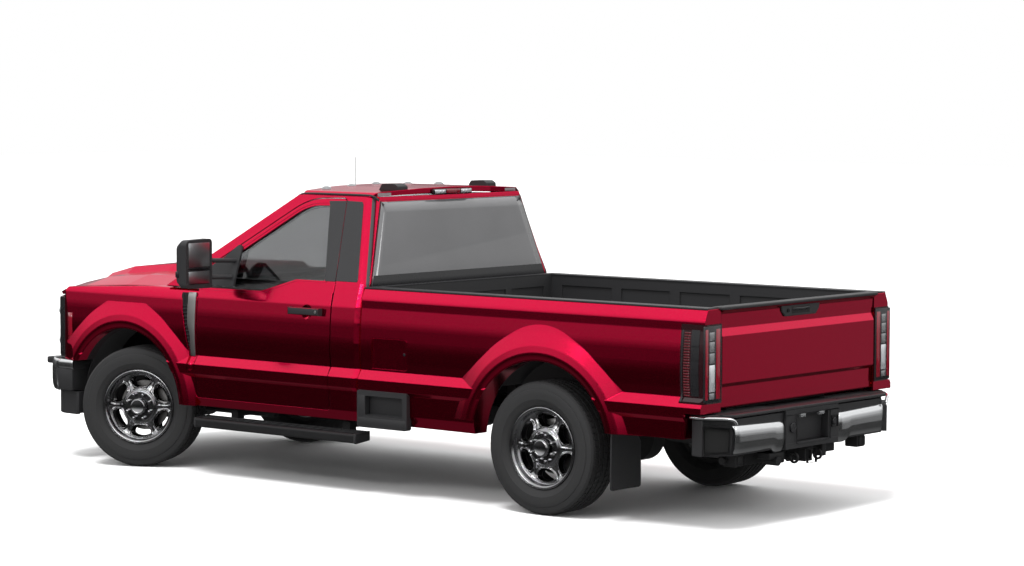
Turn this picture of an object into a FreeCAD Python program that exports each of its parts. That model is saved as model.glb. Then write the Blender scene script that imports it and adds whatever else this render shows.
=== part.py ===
# Regular-cab pickup truck with a long cargo box and four driven wheels.
# Millimetres; X forward, Y to the truck's left, Z up; the ground is Z = 0.
import FreeCAD, Part
import math
import os

doc = FreeCAD.newDocument("Pickup")
V = FreeCAD.Vector

size = {
    # running gear
    "front_axle_x": 1972.0,
    "rear_axle_x": -1625.0,
    "tyre_radius": 407.5,
    "tyre_width": 275.0,
    "tread_corner": 34.0,
    "rim_radius": 251.0,
    "rim_width": 222.0,
    "front_wheel_y": ("flare_proud", -148.5),
    "rear_wheel_y": ("flare_proud", -162.5),
    "kingpin_y": ("front_wheel_y", -100.0),
    "steer_rest": 25.2,
    "hub_radius": 92.0,
    "spindle_radius": 61.7,
    "bearing_radius": ("spindle_radius", 0.3),
    "bead_radius": 228.0,
    "fit_gap": 0.3,
    "disc_radius": 178.0,
    "lug_circle_radius": 85.0,
    "lug_radius": 12.0,
    "window_circle_radius": 163.0,
    # frame
    "rail_inner_y": 398.0,
    "rail_outer_y": 468.0,
    "receiver_half": 38.0,
    "receiver_hole_half": 26.0,
    "receiver_z": 381.0,
    "receiver_rear_x": ("box_rear_x", -70.0),
    "receiver_front_x": ("receiver_rear_x", 205.0),
    "pin_hole_radius": 8.0,
    # body sides
    "panel_inner_y": ("flare_proud", -111.0),
    "arch_radius": 530.0,
    "flare_radius": ("arch_radius", 92.0),
    "flare_run": 84.0,
    "flare_proud": 1016.0,
    "sill_z": 457.0,
    "shut_gap": 6.0,
    # cab
    "cab_back_x": ("door_rear_x", -253.0),
    "door_rear_x": 98.0,
    "door_front_x": 1302.0,
    "door_bottom_z": 520.0,
    "belt_front_z": 1240.0,
    "belt_rear_z": 1326.0,
    "roof_z": 1918.0,
    "mount_top": 559.7,
    "floor_z": 560.0,
    "floor_thick": 40.0,
    "glass_thick": 6.0,
    # cargo box
    "box_front_x": ("cab_back_x", -12.0),
    "box_rear_x": -2835.0,
    "box_inner_y": ("flare_proud", -166.0),
    "box_floor_z": 771.0,
    "box_floor_thick": 26.0,
    "box_wall": 68.0,
    "rail_z": 1302.0,
    "wheelhouse_y": ("box_inner_y", -205.0),
    "wheelhouse_radius": ("arch_radius", 32.0),
    "gate_half": ("gate_side_y", -6.0),
    "gate_side_y": ("box_inner_y", -41.0),
    "gate_thick": 60.0,
    "gate_bottom_z": 714.0,
    "gate_hinge_x": ("box_rear_x", 29.0),
    "gate_hinge_z": ("gate_bottom_z", 24.0),
    "gate_pin_radius": 12.0,
    # lamps, caps and trim
    "lamp_front_x": ("box_rear_x", 168.0),
    "lamp_bottom_z": 756.0,
    "lamp_top_z": 1216.0,
    "cap_thick": 8.0,
    # front end
    "grille_half": ("hood_half", -215.0),
    "hood_rear_x": ("door_front_x", 338.0),
    "hood_half": ("flare_proud", -161.0),
    "hood_thick": 28.0,
    "hood_hinge_x": ("hood_rear_x", 12.0),
    "hood_hinge_z": 1200.0,
    "hood_pin_radius": 8.0,
    "bumper_bottom_z": 470.0,
    "bumper_top_z": 690.0,
    "rear_bumper_x": ("box_rear_x", -109.0),
}

book = doc.addObject("Spreadsheet::Sheet", "Dims")
waiting = dict(size)
row = 0
while waiting:
    # a size given as (other size, step) follows that other size
    for alias, value in list(waiting.items()):
        follows = isinstance(value, tuple)
        if follows and value[0] in waiting:
            continue
        row += 1
        book.set("A%d" % row, alias)
        book.setAlias("B%d" % row, alias)
        book.set("B%d" % row, "=%s + %g" % value if follows else "%g" % value)
        if follows:
            size[alias] = size[value[0]] + value[1]
        del waiting[alias]
doc.recompute()

parts = {}


def val(x):
    return size[x] if isinstance(x, str) else float(x)


def expr(x):
    return "Dims.%s" % x if isinstance(x, str) else "%.6f" % x


def rounded(points):
    # closed outline of lines, with an arc where a point carries a third number
    n = len(points)
    runs = []
    for i in range(n):
        p = V(points[i][0], points[i][1], 0)
        r = points[i][2] if len(points[i]) > 2 else 0
        if r <= 0:
            runs.append((p, None, p))
            continue
        a = V(points[i - 1][0], points[i - 1][1], 0) - p
        b = V(points[(i + 1) % n][0], points[(i + 1) % n][1], 0) - p
        a.normalize()
        b.normalize()
        if (a + b).Length < 1e-3:
            runs.append((p, None, p))
            continue
        half = a.getAngle(b) / 2.0
        cut = r / math.tan(half)
        mid = (a + b)
        mid.normalize()
        centre = p + mid * (r / math.sin(half))
        runs.append((p + a * cut, centre - mid * r, p + b * cut))
    edges = []
    for i in range(n):
        first, middle, last = runs[i]
        if middle is not None:
            edges.append(Part.Arc(first, middle, last))
        nxt = runs[(i + 1) % n][0]
        if (nxt - last).Length > 1e-6:
            edges.append(Part.LineSegment(last, nxt))
    return edges


def origin_plane(body, role):
    for f in body.Origin.OriginFeatures:
        if f.Role == role:
            return f
    return None


def sketch(body, role, edges, offset, name):
    sk = doc.addObject("Sketcher::SketchObject", name)
    body.addObject(sk)
    sk.AttachmentSupport = [(origin_plane(body, role), "")]
    sk.MapMode = "FlatFace"
    sk.AttachmentOffset = FreeCAD.Placement(V(0, 0, 0), FreeCAD.Rotation())
    if offset is not None:
        sk.setExpression("AttachmentOffset.Base.z", offset)
    for e in edges:
        sk.addGeometry(e, False)
    return sk


PLANE = {"x": "YZ_Plane", "y": "XZ_Plane", "z": "XY_Plane"}


def prism(name, along, points, low, high, holes=()):
    # outline drawn across one axis and padded from low to high on that axis
    body = doc.addObject("PartDesign::Body", name)
    edges = rounded(points)
    for h in holes:
        edges += h if isinstance(h[0], (Part.Circle,)) else rounded(h)
    start = "-(%s)" % expr(high) if along == "y" else expr(low)
    sk = sketch(body, PLANE[along], edges, start, name + "_outline")
    pad = doc.addObject("PartDesign::Pad", name + "_pad")
    body.addObject(pad)
    pad.Profile = sk
    pad.Length = max(0.1, val(high) - val(low))
    pad.setExpression("Length", "%s - %s" % (expr(high), expr(low)))
    body.Tip = pad
    return body


def spun(name, points, turn=360.0):
    # outline of (Y, radius) points turned about the Y axis
    body = doc.addObject("PartDesign::Body", name)
    sk = sketch(body, "YZ_Plane", rounded(points), None, name + "_outline")
    rev = doc.addObject("PartDesign::Revolution", name + "_turn")
    body.addObject(rev)
    rev.Profile = sk
    rev.ReferenceAxis = (sk, ["H_Axis"])
    rev.Angle = turn
    body.Tip = rev
    return body


def box(name, x0, x1, y0, y1, z0, z1):
    b = doc.addObject("Part::Box", name)
    for prop, lo, hi in (("Length", x0, x1), ("Width", y0, y1), ("Height", z0, z1)):
        setattr(b, prop, max(0.1, val(hi) - val(lo)))
        b.setExpression(prop, "%s - %s" % (expr(hi), expr(lo)))
    for axis, lo in (("x", x0), ("y", y0), ("z", z0)):
        b.setExpression("Placement.Base." + axis, expr(lo))
    return b


def rod(name, a, b, radius):
    # round bar between two points
    c = doc.addObject("Part::Cylinder", name)
    a, b = V(*[val(k) for k in a]), V(*[val(k) for k in b])
    c.Radius = val(radius)
    c.setExpression("Radius", expr(radius))
    c.Height = (b - a).Length
    c.Placement = FreeCAD.Placement(a, FreeCAD.Rotation(V(0, 0, 1), b - a))
    return c


def barrel(name, x, z, radius, y0, y1):
    # round bar across the truck
    c = doc.addObject("Part::Cylinder", name)
    c.Radius = val(radius)
    c.setExpression("Radius", expr(radius))
    c.Height = val(y1) - val(y0)
    c.setExpression("Height", "%s - %s" % (expr(y1), expr(y0)))
    c.Placement = FreeCAD.Placement(V(val(x), val(y0), val(z)), FreeCAD.Rotation(V(1, 0, 0), -90))
    c.setExpression("Placement.Base.x", expr(x))
    c.setExpression("Placement.Base.y", expr(y0))
    c.setExpression("Placement.Base.z", expr(z))
    return c


def fuse(name, *items):
    f = doc.addObject("Part::MultiFuse", name)
    f.Shapes = list(items)
    return f


def cut(name, base, *tools):
    tool = tools[0] if len(tools) == 1 else fuse(name + "_tools", *tools)
    c = doc.addObject("Part::Cut", name)
    c.Base = base
    c.Tool = tool
    return c


def common(name, *items):
    c = doc.addObject("Part::MultiCommon", name)
    c.Shapes = list(items)
    return c


def mirrored(name, base):
    m = doc.addObject("Part::Mirroring", name)
    m.Source = base
    m.Normal = V(0, 1, 0)
    m.Base = V(0, 0, 0)
    return m


def both(name, base):
    c = doc.addObject("Part::Compound", name)
    c.Links = [base, mirrored(name + "_right", base)]
    return c


def node(name, obj):
    obj.Label = name
    parts[name] = obj
    return obj


s = size
R = s["tyre_radius"]
FX, RX = s["front_axle_x"], s["rear_axle_x"]
STEER = s["steer_rest"]

# wheels and tyres, each drawn about its own centre with the outer face towards +Y
half = s["tyre_width"] / 2.0
crown = s["tread_corner"]
bead = s["bead_radius"] + s["fit_gap"]
tyre_line = [
    (-80, bead), (-102.7, bead), (-102.7, 254), (-124, 274), (-half, R - 92), (-half + 4, R - 50), (-half + 12, R - 18),
    (-half + crown, R - 3), (0, R), (half - crown, R - 3), (half - 12, R - 18), (half - 4, R - 50), (half, R - 92),
    (124, 274), (102.7, 254), (102.7, bead), (80, bead), (90, 264), (half - 22, R - 60), (half - 46, R - 22),
    (-half + 46, R - 22), (-half + 22, R - 60), (-90, 264),
]
rw = s["rim_width"] / 2.0
lip = s["rim_radius"]
seat_r = s["bead_radius"]
# outer lip, barrel, then the dished face with its hub
rim_line = [
    (rw, lip), (rw - 8, lip), (rw - 8, seat_r), (72, seat_r), (58, 216), (-72, 216), (-84, seat_r),
    (-rw + 8, seat_r), (-rw + 8, lip), (-rw, lip), (-rw, 236), (-84, 208), (10, 208),
    (26, 196), (40, 110), (52, 62), (60, 0), (108, 0), (110, 56), (104, 70), (82, 76), (66, 120),
    (52, 198), (60, 208), (95, 214), (rw, 232),
]


def wheel_parts(tag):
    tyre = spun("tyre_shape_" + tag, tyre_line)
    rim = spun("rim_shape_" + tag, rim_line)
    oval = []
    reach = s["window_circle_radius"]
    for k in range(6):
        a = math.radians(60 * k + 30)
        u, w = V(math.cos(a), math.sin(a), 0), V(-math.sin(a), math.cos(a), 0)
        ring = []
        for ru, rw_, rr in ((-42, -30, 24), (40, -50, 28), (40, 50, 28), (-42, 30, 24)):
            p = u * (reach + ru) + w * rw_
            ring.append((p.x, p.y, rr))
        oval += rounded(ring)
    sk = sketch(rim, "XZ_Plane", oval, None, "rim_windows_" + tag)
    pocket = doc.addObject("PartDesign::Pocket", "rim_window_cut_" + tag)
    rim.addObject(pocket)
    pocket.Profile = sk
    pocket.Type = 1
    pocket.Midplane = True
    rim.Tip = pocket
    lugs = []
    for k in range(8):
        a = math.radians(45 * k + 22.5)
        x, z = s["lug_circle_radius"] * math.cos(a), s["lug_circle_radius"] * math.sin(a)
        lugs.append(barrel("lug_%s_%d" % (tag, k), x, z, "lug_radius", 50, 104))
    well = s["bearing_radius"]
    disc = spun("disc_shape_" + tag, [(-62, well), (-62, s["disc_radius"]), (-34, s["disc_radius"]), (-34, s["hub_radius"]),
                                      (56, s["hub_radius"]), (56, 0), (-20, 0), (-20, well)])
    whole = fuse("rim_whole_" + tag, rim, disc, *lugs)
    return tyre, whole


def placed(name, source, base, turn, flip):
    # copy of a shape set at a wheel's place; flip turns its outer face to the right
    holder = doc.addObject("Part::Compound", name)
    holder.Links = [source]
    spin = FreeCAD.Rotation(V(0, 0, 1), turn + (180.0 if flip else 0.0))
    holder.Placement = FreeCAD.Placement(base, spin)
    return holder


kp = s["kingpin_y"]
arm = s["front_wheel_y"] - kp
turn = math.radians(STEER)
for tag, x, y, flip, front in (
    ("front_left", FX, s["front_wheel_y"], False, True),
    ("front_right", FX, -s["front_wheel_y"], True, True),
    ("rear_left", RX, s["rear_wheel_y"], False, False),
    ("rear_right", RX, -s["rear_wheel_y"], True, False),
):
    tyre, rim = wheel_parts(tag)
    angle = 0.0
    base = V(x, y, R)
    if front:
        side = -1.0 if flip else 1.0
        angle = STEER
        base = V(FX - side * arm * math.sin(turn), side * kp + side * arm * math.cos(turn), R)
    node("tyre_" + tag, placed("tyre_node_" + tag, tyre, base, angle, flip))
    node("wheel_" + tag, placed("wheel_node_" + tag, rim, base, angle, flip))

# steering knuckles, drawn about the kingpin and turned with the wheels
ARM_X, ARM_Z = 130.0, -80.0
gap_fit = s["fit_gap"]
for tag, side in (("left", 1.0), ("right", -1.0)):
    post = rod("knuckle_post_" + tag, (0, 0, -125 + gap_fit), (0, 0, 125 - gap_fit), 30)
    stub = rod("knuckle_stub_" + tag, (0, 0, 0), (0, side * 79, 0), "spindle_radius")
    steer_arm = prism("knuckle_arm_" + tag, "z", [(0, -24, 12), (ARM_X + 22, -20, 18), (ARM_X + 22, 20, 18), (0, 24, 12)],
                      ARM_Z - 14, ARM_Z + 14)
    k = fuse("knuckle_whole_" + tag, post, stub, steer_arm)
    k.Placement = FreeCAD.Placement(V(FX, side * kp, R), FreeCAD.Rotation(V(0, 0, 1), STEER))
    node("knuckle_" + tag, k)
eye_dx, eye_dy = ARM_X * math.cos(turn), ARM_X * math.sin(turn)
bar_z = R + ARM_Z - 14 - gap_fit - 16
ends = [V(FX + eye_dx, side * kp + eye_dy, bar_z) for side in (1, -1)]
bar = rod("tie_bar", tuple(ends[0]), tuple(ends[1]), 15)
balls = [rod("tie_end_%d" % i, (e.x, e.y, bar_z - 16), (e.x, e.y, bar_z + 16), 20) for i, e in enumerate(ends)]
node("tie_rod", fuse("tie_rod_whole", bar, *balls))

# frame with its crossmembers and the hitch receiver
rail_line = [
    (2640, 500), (2640, 620), (1560, 620, 60), (1440, 545, 60), (-180, 545, 60), (-400, 640, 60), (-1050, 640, 60),
    (-1200, 715, 60), (-2050, 715, 60), (-2250, 650, 60), (-2800, 650), (-2800, 540), (-2250, 540, 60),
    (-2050, 602, 60), (-1200, 602, 60), (-1050, 480, 60), (-400, 480, 60), (-180, 400, 60), (1440, 400, 60), (1560, 490, 60),
]
left_rail = prism("rail_left", "y", rail_line, "rail_inner_y", "rail_outer_y")
right_rail = mirrored("rail_right", left_rail)
ri = s["rail_inner_y"]
crosses = [
    box("cross_%d" % i, x0, x1, -ri - 10, ri + 10, z0, z1)
    for i, (x0, x1, z0, z1) in enumerate((
        (2560, 2630, 510, 600), (730, 800, 402, 430 - s["fit_gap"]), (-460, -400, 580, 638), (-1360, -1290, 650, 710),
        (-1900, -1840, 650, 710), (-2335, -2265, 642, 650), (-2770, -2712, 560, 648)))
]
rh, hz = s["receiver_half"], s["receiver_z"]
tube = box("receiver_tube", "receiver_rear_x", "receiver_front_x", -rh, rh, hz - rh, hz + rh)
hitch_bar = box("hitch_bar", -2770, -2690, -480, 480, hz - 30, hz + 40)
hangers, horns = [], []
for i, y0 in enumerate((s["rail_outer_y"] - 8, -s["rail_outer_y"] - 8)):
    hangers.append(box("hitch_hanger_%d" % i, -2770, -2690, y0, y0 + 16, hz - 10, 645))
for i, (y0, y1) in enumerate((("rail_inner_y", "rail_outer_y"), (-s["rail_outer_y"], -s["rail_inner_y"]))):
    horns.append(box("rear_horn_%d" % i, -2899, -2790, y0, y1, 560, 640))
    horns.append(box("front_horn_%d" % i, 2630, 2821.5, y0, y1, 510, 610))
pucks = [rod("body_mount_%d" % i, (x, y, 530), (x, y, "mount_top"), 28)
         for i, (x, y) in enumerate((x, y) for x in (1210, 520, -50) for y in (433, -433))]
frame_solid = fuse("frame_solid", left_rail, right_rail, tube, hitch_bar, *(crosses + hangers + horns + pucks))
q = s["receiver_hole_half"]
bore = box("receiver_hole", s["receiver_rear_x"] - 10, s["receiver_front_x"] - 30, -q, q, hz - q, hz + q)
pin = barrel("receiver_pin", s["receiver_rear_x"] + 62, hz, "pin_hole_radius", -rh - 20, rh + 20)
node("frame", cut("frame_cut", frame_solid, bore, pin))

# axles
front_tube = barrel("front_tube", FX, R, 42, -kp + 80, kp - 80)
front_diff = spun("front_diff", [(-120, 0), (-112, 80), (-50, 122), (50, 122), (112, 80), (120, 0)])
front_diff.Placement = FreeCAD.Placement(V(FX, 250, R), FreeCAD.Rotation())
yokes = []
for i, side in enumerate((1, -1)):
    for j, z in enumerate((150, -150)):
        lo, hi = sorted((side * (kp - 95), side * (kp + 20)))
        yokes.append(box("yoke_%d%d" % (i, j), FX - 26, FX + 26, lo, hi, R + z - 25, R + z + 25))
    lo, hi = sorted((side * (kp - 95), side * (kp - 72)))
    yokes.append(box("yoke_back_%d" % i, FX - 26, FX + 26, lo, hi, R - 175, R + 175))
node("front_axle", fuse("front_axle_whole", front_tube, front_diff, *yokes))
rear_tube = barrel("rear_tube", RX, R, 46, -(s["rear_wheel_y"] - 70), s["rear_wheel_y"] - 70)
rear_diff = spun("rear_diff", [(-150, 0), (-140, 90), (-60, 165), (60, 165), (140, 90), (150, 0)])
rear_diff.Placement = FreeCAD.Placement(V(RX, 0, R), FreeCAD.Rotation())
spindles = [barrel("rear_spindle_%d" % i, RX, R, "spindle_radius", *sorted((side * 740, side * (s["rear_wheel_y"] - 21))))
            for i, side in enumerate((1, -1))]
node("rear_axle", fuse("rear_axle_whole", rear_tube, rear_diff, *spindles))

# suspension
coil = rod("front_coil", (FX - 10, 520, R + 42 + gap_fit), (FX - 10, 520, 640), 50)
tower = box("front_tower", FX - 90, FX + 70, 400, 572, 640, 665)
tower_side = box("front_tower_side", FX - 90, FX + 70, 400, "rail_outer_y", 620 + gap_fit, 665)
radius_arm = rod("radius_arm", (FX - 44, 440, R - 40), (1120, 440, 368), 22)
arm_mount = box("arm_mount", 1090, 1150, 418, 462, 350, 400 - gap_fit)
front_half = fuse("front_suspension_half", coil, tower, tower_side)
arm_half = fuse("radius_arm_half", radius_arm, arm_mount)
front_pair = doc.addObject("Part::Compound", "front_suspension_pair")
front_pair.Links = [front_half, arm_half]
node("front_suspension", both("front_suspension_whole", front_pair))
spring_line = [
    (-900, 470, 12), (-1200, 446, 200), (RX + 60, 454), (RX - 60, 454), (-2050, 474, 200), (-2350, 545, 12),
    (-2350, 585, 12), (-2050, 516, 200), (RX, 504, 400), (-1200, 490, 200), (-900, 512, 12),
]
leaf = prism("leaf_spring", "y", spring_line, 500, 570)
front_eye = box("leaf_front_eye", -960, -880, s["rail_outer_y"] + gap_fit, 570, 470, 580)
rear_eye = box("leaf_rear_eye", -2370, -2310, s["rail_outer_y"] + gap_fit, 570, 545, 640)
rear_half = fuse("rear_suspension_half", leaf, front_eye, rear_eye)
node("rear_suspension", both("rear_suspension_whole", rear_half))

# engine, driveline, exhaust, tank and spare wheel
engine = box("engine_box", 1420, 2200, -300, 300, 640, 1090)
feet = [box("engine_foot_%d" % i, 1700, 1790, *sorted((side * 290, side * 430)), 620 + gap_fit, 670) for i, side in enumerate((1, -1))]
node("engine_block", fuse("engine_whole", engine, *feet))
gearbox = prism("gearbox", "x", [(-150, 430, 30), (150, 430, 30), (130, 780, 40), (-130, 780, 40)], 700, 1420 - gap_fit)
transfer = prism("transfer_case", "x", [(-120, 430, 30), (300, 430, 30), (300, 552, 30), (-120, 552, 30)], 330, 700)
rear_shaft = rod("rear_shaft", (340, 0, 480), (RX + 168, 0, R + 6), 40)
front_shaft = rod("front_shaft", (690, 250, 490), (FX - 124, 250, R + 6), 26)
node("driveline", fuse("driveline_whole", gearbox, transfer, rear_shaft, front_shaft))
route = [(1300, -240, 470), (-690, -240, 475), (-1150, -300, 552), (-1800, -300, 556), (-1935, -620, 556), (-2120, -650, 500),
         (-2270, -940, 430)]
pipes = [rod("exhaust_%d" % i, a, b, 29) for i, (a, b) in enumerate(zip(route, route[1:]))]
for i, p in enumerate(route[1:-1]):
    knee = doc.addObject("Part::Sphere", "exhaust_knee_%d" % i)
    knee.Radius = 29
    knee.Placement = FreeCAD.Placement(V(*p), FreeCAD.Rotation())
    pipes.append(knee)
can = rod("exhaust_can", (250, -240, 474), (-550, -240, 476), 64)
hang_strap = box("exhaust_hanger", -445, -425, -250, -230, 490, 580 - gap_fit)
node("exhaust", fuse("exhaust_whole", can, hang_strap, *pipes))
node("fuel_tank", prism("fuel_tank_shape", "y", [(-310, 440, 40), (-310, 712), (-850, 712), (-850, 440, 60)],
                        s["rail_outer_y"] + gap_fit, 800))
spare = spun("spare_tyre", [(-100, 200), (-110, 300), (-96, 380), (0, 385), (96, 380), (110, 300), (100, 200)])
hub = spun("spare_rim", [(-60, 0), (-60, 215), (60, 215), (60, 0)])
hanger = rod("spare_hanger", (0, 0, 0), (0, 200, 0), 12)
spare_all = fuse("spare_whole", spare, hub)
spare_all.Placement = FreeCAD.Placement(V(-2300, 0, 642 - 110 - s["fit_gap"]), FreeCAD.Rotation(V(1, 0, 0), 90))
node("spare_wheel", spare_all)

# the side section shared by the door, the cab side, the wing and the cargo box
def inset(depth):
    # Y of a place that lies this far inwards from the flare's outer face
    return s["flare_proud"] - depth


belt = s["belt_rear_z"]
belt_low = s["belt_front_z"]
skin_base = s["sill_z"] - 5
ledge_z = 735.0
inner_y = s["panel_inner_y"]
inner_belt_y = inner_y - 21
roof_y, roof_join = inset(274), s["roof_z"] - 50
belt_y = inset(86)
outer_low = [
    (inset(56), skin_base), (inset(28), s["door_bottom_z"]), (inset(24), 650), (inset(6), 672), (inset(6), ledge_z),
    (inset(40), 790), (inset(33), 860, 600), (inset(30), 950, 900), (inset(36), 1080, 900), (inset(46), 1180, 110),
    (inset(68), 1262), (belt_y, belt),
]
side_face = outer_low[:-2]
door_section = outer_low + [(roof_y, roof_join), (roof_y - 46, roof_join), (inner_belt_y, belt), (inner_y, 1240),
                            (inner_y, skin_base)]


far_side = inset(-84)


def side_block(name, x0, x1, section):
    return prism(name, "x", section, x0, x1)


PILLAR_RISE = 0.615
PILLAR_FOOT_X, PILLAR_FOOT_Z = s["hood_rear_x"], 1222.0


def pillar_z(x, drop=0.0):
    # the windscreen pillar's outer line, seen from the side
    return PILLAR_FOOT_Z + (PILLAR_FOOT_X - x) * PILLAR_RISE - drop


def pillar_x(z, drop=0.0):
    return PILLAR_FOOT_X - (z - PILLAR_FOOT_Z + drop) / PILLAR_RISE


def loft(name, sections):
    # outlines across the truck at several places along it, joined by one loft
    return stacked(name, "YZ_Plane", sections)


def upright_loft(name, levels):
    # outlines seen from above at several heights, joined by one loft
    return stacked(name, "XY_Plane", levels)


def stacked(name, plane, levels):
    body = doc.addObject("PartDesign::Body", name)
    rows = [sketch(body, plane, rounded(pts), "%g" % at, "%s_at_%d" % (name, i)) for i, (at, pts) in enumerate(levels)]
    lf = doc.addObject("PartDesign::AdditiveLoft", name + "_loft")
    body.addObject(lf)
    lf.Profile = rows[0]
    lf.Sections = rows[1:]
    lf.Ruled = True
    body.Tip = lf
    return body


def grown(points, by):
    # outline moved outwards by a plain distance, corners kept
    n = len(points)
    area = sum(points[i][0] * points[(i + 1) % n][1] - points[(i + 1) % n][0] * points[i][1] for i in range(n))
    flip = 1.0 if area > 0 else -1.0
    out = []
    for i in range(n):
        p, a, b = points[i], points[i - 1], points[(i + 1) % n]
        u = V(p[0] - a[0], p[1] - a[1], 0)
        w = V(b[0] - p[0], b[1] - p[1], 0)
        u.normalize()
        w.normalize()
        nu, nw = V(u.y, -u.x, 0) * flip, V(w.y, -w.x, 0) * flip
        m = nu + nw
        m.normalize()
        k = by / max(0.2, m.dot(nu))
        r = points[i][2] + by if len(p) > 2 else 0
        out.append((p[0] + m.x * k, p[1] + m.y * k, max(r, 0)) if r > 0 else (p[0] + m.x * k, p[1] + m.y * k))
    return out


# doors with their handles
gap = s["shut_gap"]
dr, df = s["door_rear_x"], s["door_front_x"] - gap
head_z = roof_join - 22
top_x = pillar_x(head_z, 84)
door_line = [(dr, s["door_bottom_z"], 20), (dr, belt), (dr + 62, head_z + 6, 30), (top_x - 8, head_z, 500),
             (df, pillar_z(df, 84)), (df, s["door_bottom_z"], 20)]
glass_top = roof_join - 68
glass_front = df - 34
glass_line = [(dr + 92, belt + 6, 14), (dr + 150, glass_top + 6, 24), (pillar_x(glass_top, 134), glass_top, 400),
              (glass_front, pillar_z(glass_front, 134), 8), (glass_front, belt_low + 4, 8), (dr + 637, belt_low + 4, 60),
              (dr + 342, belt + 6, 60)]
door_block = side_block("door_block", dr - 5, df + 5, door_section)
door_cutter = prism("door_outline_block", "y", door_line, 600, far_side, holes=[glass_line])
low_taper = prism("door_low_taper", "z", [(dr - 10, inset(16)), (dr, inset(16)), (dr + 16, inset(136)), (dr - 10, inset(136))],
                  400, 1262)
high_taper = upright_loft("door_high_taper", [
    (1255, [(dr - 40, belt_y + 5), (dr, belt_y + 5), (dr + 22, belt_y - 60), (dr - 40, belt_y - 60)]),
    (belt + 4, [(dr - 40, belt_y - 1), (dr, belt_y - 1), (dr + 18, belt_y - 60), (dr - 40, belt_y - 60)]),
    (1860, [(dr - 40, roof_y + 3), (dr + 63, roof_y + 3), (dr + 85, roof_y - 62), (dr - 40, roof_y - 62)]),
])
handle_x0, handle_x1, handle_z = dr + 74, dr + 342, 1136.0
handle_bar = prism("handle_bar", "y", [(handle_x0, handle_z - 23, 10), (handle_x1, handle_z - 23, 10), (handle_x1, handle_z + 23, 10),
                                       (handle_x0, handle_z + 23, 10)], inset(20), inset(5))
handle_feet = [box("handle_foot_%d" % i, x, x + 34, inset(60), inset(18), handle_z - 18, handle_z + 18)
               for i, x in enumerate((handle_x0 + 6, handle_x1 - 40))]
cup = doc.addObject("Part::Sphere", "handle_cup")
cup.Radius = 66
cup.Placement = FreeCAD.Placement(V((handle_x0 + handle_x1) / 2, inset(41) + 46, handle_z), FreeCAD.Rotation())
door_panel = cut("door_left_panel", common("door_left_solid", door_block, door_cutter), low_taper, high_taper, cup)
door_shape = fuse("door_left_shape", door_panel, handle_bar, *handle_feet)
node("door_left", door_shape)
node("door_right", mirrored("door_right_shape", door_shape))
pane = s["glass_thick"]
glass_lean = (belt_y - roof_y) / (roof_join - belt)
pane_y = belt_y - 17
glass_block = prism("glass_block", "x", [(pane_y, 1236), (pane_y, belt - 10), (roof_y - 20, head_z + 12), (roof_y - 20 - pane, head_z + 12),
                                         (pane_y - pane, belt - 12), (pane_y - pane, 1236)], dr, df + 5)
glass_cutter = prism("glass_outline_block", "y", grown(glass_line, -0.5), 600, far_side)
glass_shape = common("door_glass_left_shape", glass_block, glass_cutter)
node("door_glass_left", glass_shape)
node("door_glass_right", mirrored("door_glass_right_shape", glass_shape))

# mirrors: a sail on the door, two arms and a head that narrows forwards
mirror_in, mirror_out, mirror_low, mirror_high = inset(-76), inset(-314), 1257.0, 1580.0


def mirror_outline(side, ends):
    return [(mirror_in + side, mirror_low + ends, 26), (mirror_out - side, mirror_low + ends + 5, 30),
            (mirror_out - side, mirror_high - ends - 6, 40), (mirror_in + side, mirror_high - ends, 26)]


head = loft("mirror_head", [(1040, mirror_outline(0, 0)), (1100, mirror_outline(0, 0)), (1150, mirror_outline(22, 24))])
arm_a = rod("mirror_arm_upper", (1010, inset(112), 1428), (1070, far_side, 1436), 15)
arm_b = rod("mirror_arm_lower", (1010, inset(72), 1322), (1070, far_side, 1326), 15)
sail = prism("mirror_sail", "y", [(975, 1250, 10), (1262, 1250, 6), (1262, pillar_z(1262, 96), 6), (1110, pillar_z(1110, 96), 20),
                                  (1000, 1540, 20), (975, 1500, 20)], inset(196), inset(36))
sail_block = prism("mirror_sail_skin", "x", [
    (inset(67.6), 1262), (belt_y + 0.4, belt), (belt_y + 0.4 - 260 * glass_lean, belt + 260), (belt_y + 14.4 - 260 * glass_lean, belt + 260),
    (belt_y + 14.4, belt), (inset(50), 1262)], 900, 1300)
mirror_shape = fuse("mirror_left_shape", head, arm_a, arm_b, common("mirror_sail_shape", sail, sail_block))
node("mirror_left", mirror_shape)
node("mirror_right", mirrored("mirror_right_shape", mirror_shape))

# cab sides, with the rear corners rounded from sill to roof
cab_back = s["cab_back_x"]
roof_rear_x = cab_back + 115
cab_line = [(cab_back, s["sill_z"]), (cab_back, belt), (roof_rear_x, roof_join), (590, roof_join), (1611, 1240),
            (s["door_front_x"], 1240), (s["door_front_x"], s["sill_z"])]
side_cab_block = side_block("cab_side_block", cab_back, 1660, door_section)
door_hole = grown(door_line, gap)
cab_side_outline = prism("cab_side_outline", "y", cab_line, 600, far_side)


def corner_outline(level):
    y, z = level[0] + 0.2, level[1]
    x = cab_back + max(0.0, (z - belt) / (roof_join - belt)) * (roof_rear_x - cab_back)
    r = 52.0
    return [(x, -y, r), (1700, -y), (1700, y), (x, y, r)]


corner_levels = outer_low + [(roof_y, roof_join)]
cab_corner = upright_loft("cab_corner", [(p[1], corner_outline(p)) for p in corner_levels])
cab_side_shape = cut("cab_side_shape", common("cab_side_solid", side_cab_block, cab_side_outline, cab_corner),
                     prism("cab_door_hole", "y", door_hole, 500, far_side + 100))
node("cab_sides", both("cab_sides_whole", cab_side_shape))

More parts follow.
